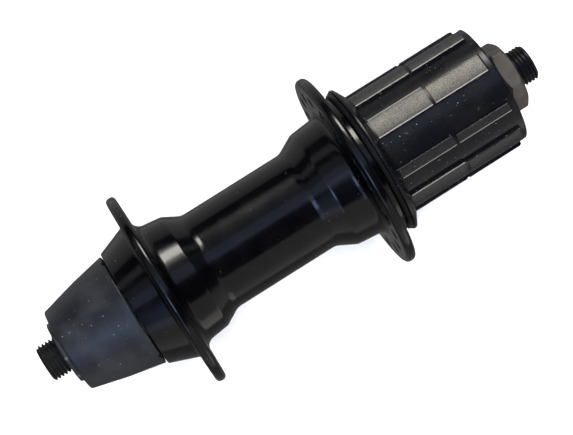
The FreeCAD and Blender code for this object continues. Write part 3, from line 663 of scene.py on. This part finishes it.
# The driver's ridge crowns carry a painted highlight over their wear, and its dust colour also paints
# highlight lines on the ridge corners.
PLATED = Finish("dark_plated_steel", (0.003, 0.0032, 0.0046), (0.0046, 0.0045, 0.0054), 0.2, (0.25, 0.29),
                grain=0.000009, grain_scale=1500.0, dust=0.85, dust_size=0.075,
                dust_and_edge_highlight_colour=(0.42, 0.40, 0.36), crown_from=0.01722, crown_beyond=-0.0275,
                crown_wear_and_highlight_colour=(0.16, 0.153, 0.14), crown_rough=0.40)
BOOT = Finish("dusty_rubber", (0.0058, 0.0066, 0.0090), (0.0150, 0.0160, 0.0192), 0.0, (0.36, 0.48),
              mottle_scale=110.0, grain=0.00003, grain_scale=1800.0, dust=0.85, dust_size=0.085)
SEAL = Finish("satin_rubber", (0.005, 0.005, 0.006), (0.008, 0.008, 0.009), 0.0, (0.24, 0.36),
              grain=0.00001, dust=0.35)
OXIDE = Finish("black_oxide_steel", (0.006, 0.006, 0.0075), (0.014, 0.0135, 0.013), 0.5, (0.28, 0.40),
               grain=0.00002, dust=0.12)
NUT = Finish("dull_nut_steel", (0.085, 0.077, 0.070), (0.055, 0.047, 0.042), 0.6, (0.36, 0.5),
             grain=0.00003, grain_scale=1600.0, dust=0.25, scratches=0.4)
COLLAR = Finish("scuffed_black_steel", (0.025, 0.026, 0.029), (0.045, 0.045, 0.048), 0.4, (0.32, 0.5),
                turning=0.00001, dust=0.3, wear=0.04, wear_colour=(0.22, 0.21, 0.20))
GROUND = Finish("ground_steel", (0.42, 0.42, 0.43), (0.34, 0.34, 0.35), 1.0, (0.22, 0.34),
                turning=0.00001, turning_scale=6500.0, dust=0.06)
POLISHED = Finish("polished_balls", (0.62, 0.62, 0.63), (0.55, 0.55, 0.56), 1.0, (0.06, 0.12),
                  grain=0.000004, dust=0.02)
PRESSED = Finish("pressed_steel", (0.46, 0.45, 0.43), (0.38, 0.37, 0.35), 1.0, (0.26, 0.4),
                 grain=0.00002, dust=0.12, scratches=0.3)
WIRE = Finish("spring_wire", (0.33, 0.33, 0.34), (0.26, 0.26, 0.27), 1.0, (0.25, 0.35),
              grain=0.00001, dust=0.05)


class Finishes:
    """Makes each finish once and hands it out."""

    def __init__(self) -> None:
        """Starts with no material made."""
        self.made: dict[str, bpy.types.Material] = {}

    def of(self, finish: Finish) -> bpy.types.Material:
        """The material of a finish.

        Args:
            finish: the finish.

        Returns:
            Its material, made at the first call.
        """
        if finish.name not in self.made:
            self.made[finish.name] = finish.material()
        return self.made[finish.name]


def place(piece: bpy.types.Object, body: Body, slot: str, *nodes: str) -> None:
    """Puts a finished piece on its body, in its CAD nodes' place.

    Args:
        piece: the finished object.
        body: the rigid body it rides on.
        slot: the record's material slot; not used.
        nodes: CAD nodes that it stands for.
    """
    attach(piece, body.value)
    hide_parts(*nodes)
    log.info("%s: %d faces on %s", piece.name, len(piece.data.polygons), body.value)


def mount(name: str) -> dict:
    """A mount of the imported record, by name."""
    return next(m for m in frame["record"]["mounts"] if m["name"] == name)


def span(node: str) -> tuple[float, float, float]:
    """A CAD node's lowest and highest station and its largest half width in X, in millimetres."""
    low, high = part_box(node)
    return low.y / MM, high.y / MM, max(-low.x, high.x) / MM


# ---- the hub shell -------------------------------------------------------------------------------
@dataclass
class HubShell:
    """One-piece alloy shell with two spoke flanges."""

    finishes: Finishes
    flange_thickness: float = 2.8
    flange_edge: float = 1.15
    barrel: float = 17.1
    barrel_taper: float = 0.9
    waist: float = 13.7
    plain_shoulder: float = 28.5
    plain_waist: float = 24.1
    drive_waist: float = -5.4
    drive_shoulder: float = -10.5
    lip: float = 16.3
    lip_bore: float = 14.9
    nose_flare: float = 3.0
    boss: float = 19.3
    cup_seat: float = 14.42
    cup_seat_from: float = 35.75
    cup_seat_to: float = 43.0
    core_bore: float = 8.8
    bolt_bore: float = 7.62
    web: tuple[float, float] = (-17.0, -6.0)
    spigot_bore: float = 11.92
    spigot_slot: float = 12.84
    slots: int = 12
    countersink: float = 0.42
    spoke_phase: float = 6.0
    drill_sides: int = 28
    slot_half_angle: float = 6.2
    segments: int = 216

    def outline(self) -> list[Point]:
        """The shell's section, from its lip round the outside to the boss and back inside.

        Returns:
            (radius, station) points.
        """
        low, high, rim = span("hub_shell")
        plain = mount("plain_spoke_circle")["pos_m"][1] / MM
        drive = mount("drive_spoke_circle")["pos_m"][1] / MM
        half = self.flange_thickness / 2
        return rounded([
            (self.lip_bore, high),
            (self.lip, high, 0.35),
            (self.lip + self.nose_flare, plain + half, 1.1),
            (rim, plain + half, self.flange_edge),
            (rim, plain - half, self.flange_edge),
            (self.barrel, plain - half, 2.6),
            (self.barrel - self.barrel_taper, self.plain_shoulder, 2.0),
            (self.waist, self.plain_waist, 4.0),
            (self.waist, self.drive_waist, 4.0),
            (self.barrel - self.barrel_taper + 0.2, self.drive_shoulder, 2.0),
            (self.barrel + 0.1, drive + half, 2.2),
            (rim, drive + half, self.flange_edge),
            (rim, drive - half, self.flange_edge),
            (self.boss + 0.2, drive - half, 0.6),
            (self.boss, low, 0.4),
            (self.spigot_bore, low),
            (self.spigot_bore, self.web[0]),
            (self.bolt_bore, self.web[0]),
            (self.bolt_bore, self.web[1]),
            (self.core_bore, self.web[1]),
            (self.core_bore, self.cup_seat_from),
            (self.cup_seat, self.cup_seat_from),
            (self.cup_seat, self.cup_seat_to),
            (self.lip_bore, self.cup_seat_to),
        ], 7)

    def spoke_drill(self, name: str) -> bpy.types.Object:
        """Cutter for one spoke hole and its two countersinks, at angle 0.

        Args:
            name: the mount that gives the hole's size and place.

        Returns:
            The cutter.
        """
        holes = mount(name)
        middle = holes["pos_m"][1] / MM
        circle, hole = holes["dims"]["pcd_mm"] / 2, holes["dims"]["hole_r_mm"]
        half = self.flange_thickness / 2
        sink = self.countersink
        profile = [
            (-half - 1.0, hole + sink + 1.0),
            (-half, hole + sink),
            (-half + sink * 0.45, hole + sink * 0.25),
            (-half + sink, hole),
            (half - sink, hole),
            (half - sink * 0.45, hole + sink * 0.25),
            (half, hole + sink),
            (half + 1.0, hole + sink + 1.0),
        ]
        turns = [2 * math.pi * k / self.drill_sides for k in range(self.drill_sides)]
        rings = [[((circle + radius * math.cos(t)) * MM, (middle + station) * MM, radius * math.sin(t) * MM)
                  for t in turns] for station, radius in profile]
        return solid(f"{name}_drill", rings)

    def key_slot(self) -> bpy.types.Object:
        """Cutter for one of the slots that key the freehub core, at angle 0.

        Returns:
            The cutter.
        """
        low, turn = span("hub_shell")[0], self.slot_half_angle
        corners = ((self.spigot_bore - 0.6, -turn), (self.spigot_slot, -turn), (self.spigot_slot, turn),
                   (self.spigot_bore - 0.6, turn))
        ends = (low - 1, self.web[0] + 0.01)
        return solid("key_slot", [[polar(r, a, y) for r, a in corners] for y in ends])

    def build(self) -> bpy.types.Object:
        """Turns, drills and slots the shell. The plain flange's spoke holes stand half a pitch on.

        Returns:
            The finished shell.
        """
        recipe = Recipe("hub_shell_turned")
        recipe.revolve(self.segments)
        rings = []
        for side, offset in (("plain", 0.5), ("drive", 0.0)):
            name = f"{side}_spoke_circle"
            count = mount(name)["dims"]["count"]
            rings.append(recipe.ring_of(f"{side.title()} Spoke Hole", self.spoke_drill(name), count,
                                        self.spoke_phase + offset * 360.0 / count))
        rings.append(recipe.ring_of("Key Slot", self.key_slot(), self.slots, 0.0))
        recipe.combine(Cut.REMOVE, *rings)
        return recipe.make(self.outline(), self.finishes.of(ANODISED))

    def dress(self) -> None:
        """Builds the shell and puts it on its body."""
        place(self.build(), Body.SHELL, "shell_black", "hub_shell")


# ---- the freehub ---------------------------------------------------------------------------------
@dataclass
class FreehubDriver:
    """Splined driver that carries the cassette."""

    finishes: Finishes
    ridge: float = 17.25
    root: float = 16.25
    ridges: int = 9
    ridge_angle: float = 20.0
    key_angle: float = 10.0
    first_ridge: float = 58.8
    key_place: int = 1
    ridge_edge: float = 0.22
    flank_step: float = 1.5
    collar: float = 1.8
    end_chamfer: float = 0.5
    groove_at: float = 16.4
    groove: tuple[float, float] = (0.7, 0.32)
    flange_edge: float = 0.7
    bevel_length: float = 1.5
    stop_rise: float = 0.75
    lockring: float = 15.2
    lockring_depth: float = 6.6
    lockring_pitch: float = 1.058
    lockring_thread: float = 0.45
    bore: float = 14.75
    ratchet_from: float = -38.1
    ratchet_to: float = -30.1
    ratchet_crest: float = 13.2
    ratchet_root: float = 14.42
    teeth: int = 24
    tooth_first: float = 52.54
    tooth_back: float = 10.56
    tooth_lean: float = 3.47
    seal_bore: float = 15.75
    seal_dish: float = 19.0
    seal_floor: float = 0.48
    segments: int = 240

    @property
    def stop(self) -> float:
        """Station of the shoulder that the cassette stops on."""
        return span("freehub_driver")[1] - self.flange_edge - self.bevel_length - 0.3

    def outline(self) -> list[Point]:
        """Section of the sleeve without its ridges.

        Returns:
            (radius, station) points, close together in the thread.
        """
        low, high, rim = span("freehub_driver")
        flange = high - 0.3 - self.flange_edge
        section = rounded([
            (self.bore, high),
            (rim - 0.6, high, 0.15),
            (rim, high - 0.35, 0.15),
            (rim, flange, 0.35),
            (self.ridge + self.stop_rise, self.stop, 0.18),
            (self.root, self.stop, 0.25),
            (self.root, low, self.end_chamfer),
            (self.lockring, low, 0.3),
            (self.lockring, low + self.lockring_depth),
            (self.bore, low + self.lockring_depth + 0.5),
            (self.bore, self.ratchet_from - 5.5),
            (self.ratchet_crest - 0.05, self.ratchet_from),
            (self.ratchet_crest - 0.05, self.ratchet_to),
            (self.bore, self.ratchet_to + 2.5),
        ], 5)
        return finer(section, low, low + self.lockring_depth, self.lockring_pitch / 9)

    def ridge_bar(self, name: str, width: float) -> bpy.types.Object:
        """One ridge at angle 0, with worn edges and the shallow groove across it.

        Args:
            name: the object's name.
            width: its width in degrees.

        Returns:
            The solid, whose foot is inside the sleeve.
        """
        low = span("freehub_driver")[0]
        start, end = self.stop + 0.3, low + self.collar
        groove = self.stop - self.groove_at
        wide, deep = self.groove
        stations = [start + (end - start) * k / 64 for k in range(65)]
        stations = [s for s in stations if not groove - wide - 0.2 < s < groove + 0.2]
        stations += [groove + 0.12, groove, groove - wide, groove - wide - 0.12]
        rings = []
        for station in sorted(stations, reverse=True):
            sunk = deep if groove - wide - 0.01 <= station <= groove + 0.01 else 0.0
            sunk = max(sunk, 0.35 * max(0.0, 1 - (station - end) / 0.4))
            top = self.ridge - sunk
            narrow = self.flank_step if station < groove else 0.0
            nick = 0.14 * noise.noise(Vector((station * 1.3, width, 0.0)))
            nick += 0.20 * max(0.0, noise.noise(Vector((station * 2.9, width, 7.0))) - 0.15)
            first, last = nick + narrow, width - nick * 0.5
            edge = math.degrees(self.ridge_edge / top)
            corner = [(top - self.ridge_edge * (1 - math.sin(t)), edge * (1 - math.cos(t)))
                      for t in (0.0, 0.5, 1.0, math.pi / 2)]
            across = [(top, first + edge + (last - first - 2 * edge) * k / 8) for k in range(1, 8)]
            ring = [(self.root - 0.6, first), *((r, first + a) for r, a in corner), *across,
                    *((r, last - a) for r, a in reversed(corner)), (self.root - 0.6, last)]
            rings.append([polar(r, a, station) for r, a in ring])
        return solid(name, rings)

    def tooth_gap(self) -> bpy.types.Object:
        """Cutter for one gap of the ratchet, at angle 0. Its driving face leans as the pawls swing.

        Returns:
            The cutter.
        """
        crest, face = self.ratchet_crest, self.tooth_back + self.tooth_lean
        corners = ((crest - 0.4, 0.0), (crest, 0.0), (self.ratchet_root, self.tooth_back),
                   (crest, face), (crest - 0.4, face))
        rings = [[polar(r, a, y) for r, a in corners] for y in (self.ratchet_from, self.ratchet_to)]
        return solid("tooth_gap", rings)

    def build(self) -> bpy.types.Object:
        """Turns the sleeve, threads its mouth, adds the ridges and cuts the ratchet.

        Returns:
            The finished driver.
        """
        recipe = Recipe("freehub_driver_splined")
        recipe.revolve(self.segments)
        low = span("freehub_driver")[0]
        recipe.thread(self.lockring, self.lockring_thread, self.lockring_pitch,
                      -(low + self.lockring_depth) + 0.3, outside=False)
        wide = self.ridge_bar("wide_ridge", self.ridge_angle)
        narrow = self.ridge_bar("key_ridge", self.key_angle)
        key_start = self.first_ridge + self.ridge_angle - self.key_angle
        rings = [
            recipe.ring_of("Ridge", wide, self.ridges, self.first_ridge, skip=self.key_place),
            recipe.ring_of("Key Ridge", narrow, self.ridges, key_start, only=self.key_place),
        ]
        recipe.combine(Cut.ADD, *rings)
        gaps = recipe.ring_of("Tooth Gap", self.tooth_gap(), self.teeth, self.tooth_first)
        recipe.combine(Cut.REMOVE, gaps)
        return recipe.make(self.outline(), self.finishes.of(PLATED), 28.0)

    def seal(self) -> bpy.types.Object:
        """Rubber ring on the driver's inboard face.

        Returns:
            The finished ring.
        """
        low, high, rim = span("freehub_seal_ring")
        recipe = Recipe("freehub_seal_moulded")
        recipe.revolve(192)
        section = rounded([
            (self.seal_bore, low),
            (self.seal_bore, low + self.seal_floor, 0.15),
            (self.seal_dish - 0.9, low + self.seal_floor),
            (self.seal_dish - 0.2, high, 0.2),
            (rim - 0.5, high, 0.3),
            (rim, low),
        ], 6)
        return recipe.make(section, self.finishes.of(SEAL))

    def dress(self) -> None:
        """Builds the driver and its seal and puts them on their body."""
        place(self.build(), Body.DRIVER, "driver_black", "freehub_driver")
        place(self.seal(), Body.DRIVER, "seal_rubber", "freehub_seal_ring")


# ---- the axle and its nuts -----------------------------------------------------------------------
@dataclass
class AxleSet:
    """Threaded axle with its two locknuts and the rubber boot."""

    finishes: Finishes
    bore: float = 2.65
    chamfer: float = 0.6
    pitch: float = 1.0
    thread_depth: float = 0.58
    grip_radius: float = 4.675
    seat_gap: float = 0.02
    flats: float = 8.5
    nut_bore: float = 4.695
    nut_lead: float = 5.1
    drive_corner: float = 53.0
    corner_break: float = 0.12
    corner_soft: tuple[float, float] = (0.085, 1.5)
    boot_wall: float = 2.0
    boot_tip: float = 11.4
    boot_crown: float = 0.25
    notches: int = 3
    notch_first: float = 29.0
    notch_half_angle: float = 4.0

    @property
    def corners(self) -> float:
        """Radius over the corners of a nut's hexagon."""
        return self.flats / math.cos(math.radians(30))

    def axle(self) -> bpy.types.Object:
        """Hollow axle, threaded at both ends.

        Returns:
            The finished axle.
        """
        low, high, radius = span("hollow_axle")
        face = span("left_locknut")[1] + self.seat_gap
        recipe = Recipe("hollow_axle_threaded")
        recipe.revolve(96)
        recipe.thread(radius, self.thread_depth, self.pitch, face + self.seat_gap)
        section = rounded([
            (self.bore, low, 0.2),
            (radius - self.chamfer, low, 0.1),
            (radius, low + self.chamfer),
            (radius, -face),
            (self.grip_radius, -face),
            (self.grip_radius, face),
            (radius, face),
            (radius, high - self.chamfer),
            (radius - self.chamfer, high, 0.1),
            (self.bore, high, 0.2),
        ], 4)
        step = self.pitch / 10
        fine = finer(finer(section, low, -face, step), face, high, step)
        return recipe.make(fine, self.finishes.of(OXIDE), 40.0)

    def hexagon(self, name: str, start: float, end: float, corner: float) -> bpy.types.Object:
        """Hexagonal bar with softened corners, for cutting a nut to shape.

        Args:
            name: the object's name.
            start: its first station.
            end: its last station.
            corner: angle of one corner.

        Returns:
            The bar.
        """
        reach = self.corners - self.corner_break
        drop, turn = self.corner_soft
        ring = [(reach - abs(k) * drop, corner + 60 * i + k * turn) for i in range(6) for k in (-1, 0, 1)]
        return solid(name, [[polar(r, a, y) for r, a in ring] for y in (start, end)])

    def right_nut(self) -> bpy.types.Object:
        """Hexagonal drive side locknut, chamfered on both faces.

        Returns:
            The finished nut.
        """
        low, high, _ = span("right_locknut")
        corner = self.corners
        chamfer = corner - self.flats + 0.3
        recipe = Recipe("right_locknut_hexagon")
        recipe.revolve(144)
        bar = self.hexagon("hexagon", low - 1, high + 1, self.drive_corner)
        recipe.combine(Cut.KEEP_COMMON, recipe.shape_of("Hexagon", bar))
        section = rounded([
            (self.nut_bore, low + self.nut_lead - self.nut_bore),
            (self.nut_lead, low),
            (self.flats - 0.3, low, 0.15),
            (corner, low + chamfer * 0.7),
            (corner, high - chamfer * 0.5),
            (self.flats - 0.3, high, 0.15),
            (self.nut_bore, high),
        ], 4)
        return recipe.make(section, self.finishes.of(NUT), 24.0)

    def boot(self) -> bpy.types.Object:
        """Rubber cone over the plain side stack, notched at its wide end.

        Returns:
            The finished boot.
        """
        low, high, base = span("left_seal_boot")
        middle = (low + high) / 2
        middle_radius = (base + self.boot_tip) / 2 + self.boot_crown
        grip, turn = self.corners + self.seat_gap, self.notch_half_angle
        corners = ((base - 1.1, -turn), (base + 1, -turn), (base + 1, turn), (base - 1.1, turn))
        ends = (low - 0.5, low + 0.6)
        notch = solid("boot_notch", [[polar(r, a, y) for r, a in corners] for y in ends])
        recipe = Recipe("left_boot_moulded")
        recipe.revolve(176)
        recipe.combine(Cut.REMOVE, recipe.ring_of("Notch", notch, self.notches, self.notch_first))
        section = rounded([
            (base - self.boot_wall, low, 0.3),
            (base, low, 0.4),
            (middle_radius, middle, 40.0),
            (self.boot_tip, high - 0.2, 0.55),
            (self.boot_tip - 0.9, high, 0.3),
            (self.flats + self.seat_gap, high, 0.15),
            (self.flats + self.seat_gap, high - 0.9),
            (grip, high - 0.9),
            (grip, high - 4.9),
            (middle_radius - self.boot_wall, middle - 1, 5.0),
        ], 10)
        return recipe.make(section, self.finishes.of(BOOT))

    def dress(self) -> None:
        """Builds the axle set and puts it on its body."""
        place(self.axle(), Body.AXLE, "axle_black", "hollow_axle")
        place(self.right_nut(), Body.AXLE, "nut_steel", "right_locknut")
        place(self.boot(), Body.AXLE, "boot_rubber", "left_seal_boot")


# ---- pieces that keep their CAD shape ------------------------------------------------------------
@dataclass
class InnerPieces:
    """Bearings, ratchet pieces and washers: their CAD shapes stay, with real finishes."""

    finishes: Finishes
    worn: dict[Finish, tuple[str, ...]] = field(default_factory=lambda: {
        GROUND: ("left_bearing_cup", "left_cone", "freehub_fixing_bolt", "freehub_core",
                 "freehub_bearing_cup", "pawl_a", "pawl_b", "right_cone"),
        POLISHED: ("left_bearing_balls", "right_bearing_balls", "freehub_balls_inboard",
                   "freehub_balls_outboard"),
        PRESSED: ("left_dust_cap", "left_cone_shield", "freehub_shims", "freehub_dust_cap",
                  "right_cone_shield"),
        NUT: ("left_lock_washer", "left_spacer", "right_lock_washer"),
        WIRE: ("pawl_spring",),
        COLLAR: ("left_locknut",),
    })

    def dress(self) -> None:
        """Gives every kept CAD node its finish."""
        for finish, nodes in self.worn.items():
            for node in nodes:
                piece = frame["nodes"][node]
                for place_of in piece.material_slots:
                    place_of.material = self.finishes.of(finish)
                log.info("%s: finished as %s", node, finish.name)


# ---- the studio ----------------------------------------------------------------------------------
@dataclass(frozen=True)
class Lamp:
    """Rectangular soft light that faces the hub, placed by angles as seen from it."""

    name: str
    round_axle: float
    along: float
    width: float
    height: float
    radiance: float
    colour: Colour
    away: float = 1.2
    mirrored: bool = True

    def hang(self) -> None:
        """Adds the light. Its angles go round the axle from straight up to -X, and along it to -Y."""
        a, b = math.radians(self.round_axle), math.radians(self.along)
        way = Vector((-math.sin(a) * math.cos(b), -math.sin(b), math.cos(a) * math.cos(b)))
        across = Vector((-math.cos(a), 0.0, -math.sin(a)))
        side = across.cross(way).normalized()
        light = bpy.data.lights.new(self.name, "AREA")
        light.shape = "RECTANGLE"
        light.size = 2 * self.away * math.tan(math.radians(self.width / 2))
        light.size_y = 2 * self.away * math.tan(math.radians(self.height / 2))
        light.energy = self.radiance * math.pi * light.size * light.size_y
        light.color = self.colour
        lamp = bpy.data.objects.new(self.name, light)
        turn = Matrix((side, -across, way)).transposed()
        lamp.matrix_world = Matrix.Translation(way * self.away) @ turn.to_4x4()
        lamp.visible_camera = False
        lamp.visible_glossy = self.mirrored
        bpy.context.collection.objects.link(lamp)


LAMPS = (
    Lamp("wash", 0.0, 0.0, 60.0, 60.0, 6.6, (1.0, 1.0, 1.0), 1.6, mirrored=False),
    Lamp("key", -50.0, 18.0, 22.0, 17.0, 10.0, (1.0, 0.965, 0.90)),
    Lamp("key_glow", -49.0, 22.0, 28.0, 30.0, 1.6, (1.0, 0.97, 0.93), 1.3),
    Lamp("streak", -57.0, 0.0, 110.0, 14.0, 0.32, (0.95, 0.97, 1.0), 1.35),
    Lamp("high_fade", -118.0, 0.0, 110.0, 62.0, 0.23, (0.97, 0.98, 1.0), 1.4),
    Lamp("window", 18.0, -27.0, 24.0, 17.0, 2.8, (0.42, 0.60, 1.0)),
    Lamp("window_wide", 27.0, -30.0, 34.0, 52.0, 0.75, (0.45, 0.60, 1.0), 1.3),
    Lamp("cool_strip", -9.0, 0.0, 110.0, 22.0, 0.54, (0.57, 0.70, 1.0), 1.4),
    Lamp("cool_edge", 0.0, -14.0, 30.0, 15.0, 0.30, (0.57, 0.70, 1.0), 1.25),
    Lamp("cool_fade", -29.0, 0.0, 110.0, 18.0, 0.22, (0.75, 0.82, 1.0), 1.45),
    Lamp("low_panel", 79.0, 0.0, 100.0, 66.0, 0.38, (1.0, 0.97, 0.93), 1.1),
    Lamp("low_glow", 102.0, 17.0, 22.0, 26.0, 0.55, (1.0, 0.96, 0.88), 1.0),
)


@dataclass
class Studio:
    """Pale floor, soft light and the camera."""

    lens: float = 123.1
    distance: float = 0.500
    roll: float = 32.14
    yaw: float = 3.5
    aim: tuple[float, float] = (-0.0014, -0.0009)
    floor_size: float = 6.0
    world_top: float = 0.015
    world_ground: float = 0.15
    backdrop: float = 0.85

    def floor(self) -> None:
        """Plain pale floor under the flanges."""
        level, half = cad_box[0].z, self.floor_size / 2
        mesh = bpy.data.meshes.new("floor")
        corners = [(x * half, y * half, level) for x, y in ((-1, -1), (1, -1), (1, 1), (-1, 1))]
        mesh.from_pydata(corners, [], [(0, 1, 2, 3)])
        floor = bpy.data.objects.new("floor", mesh)
        bpy.context.collection.objects.link(floor)
        shades = Shades("pale_floor")
        shades.feed("Base Color", shades.blend(shades.cloud(3.0), (0.90, 0.90, 0.90), (0.93, 0.93, 0.93)))
        shades.shader.inputs["Roughness"].default_value = 0.9
        mesh.materials.append(shades.material)
        floor.visible_glossy = False

    def world(self) -> None:
        """Dim even surroundings, a little brighter below, that look pale behind the floor's edge."""
        world = bpy.data.worlds.new("studio")
        bpy.context.scene.world = world
        world.use_nodes = True
        nodes = Nodes(world.node_tree)
        background = nodes.tree.nodes["Background"]
        height = nodes.parts(nodes.node("ShaderNodeTexCoord").outputs["Generated"])[2]
        level = nodes.node("ShaderNodeMapRange", {"Value": height, "From Min": -0.3, "From Max": 0.1,
                                                  "To Min": self.world_ground, "To Max": self.world_top})
        seen = nodes.sum("MULTIPLY", nodes.node("ShaderNodeLightPath").outputs["Is Camera Ray"], self.backdrop)
        nodes.give(background.inputs["Strength"], nodes.sum("MAXIMUM", seen, level.outputs[0]))
        background.inputs["Color"].default_value = (1.0, 0.99, 0.98, 1.0)

    def camera(self) -> None:
        """Camera that looks down on the hub, rolled so that the axle climbs to the right."""
        yaw, roll = math.radians(self.yaw), math.radians(self.roll)
        back = Vector((0, math.sin(yaw), math.cos(yaw)))
        along = (Vector((0, -1, 0)) - back * back.dot(Vector((0, -1, 0)))).normalized()
        upper = back.cross(along)
        right = along * math.cos(roll) - upper * math.sin(roll)
        up = along * math.sin(roll) + upper * math.cos(roll)
        target = along * self.aim[0] + upper * self.aim[1]
        data = bpy.data.cameras.new("camera")
        data.lens = self.lens
        data.sensor_width = 36.0
        camera = bpy.data.objects.new("camera", data)
        turn = Matrix((right, up, back)).transposed()
        camera.matrix_world = Matrix.Translation(target + back * self.distance) @ turn.to_4x4()
        bpy.context.collection.objects.link(camera)
        bpy.context.scene.camera = camera

    def dress(self) -> None:
        """Sets up the floor, lights and camera."""
        self.world()
        self.floor()
        for lamp in LAMPS:
            lamp.hang()
        self.camera()
        bpy.context.scene.view_settings.view_transform = "Standard"


def main() -> None:
    """Builds and dresses every sub-assembly."""
    logging.basicConfig(level=logging.INFO, format="%(name)s: %(message)s")
    finishes = Finishes()
    for assembly in (HubShell(finishes), FreehubDriver(finishes), AxleSet(finishes), InnerPieces(finishes)):
        assembly.dress()
    Studio().dress()


if __name__ == "__main__":
    main()
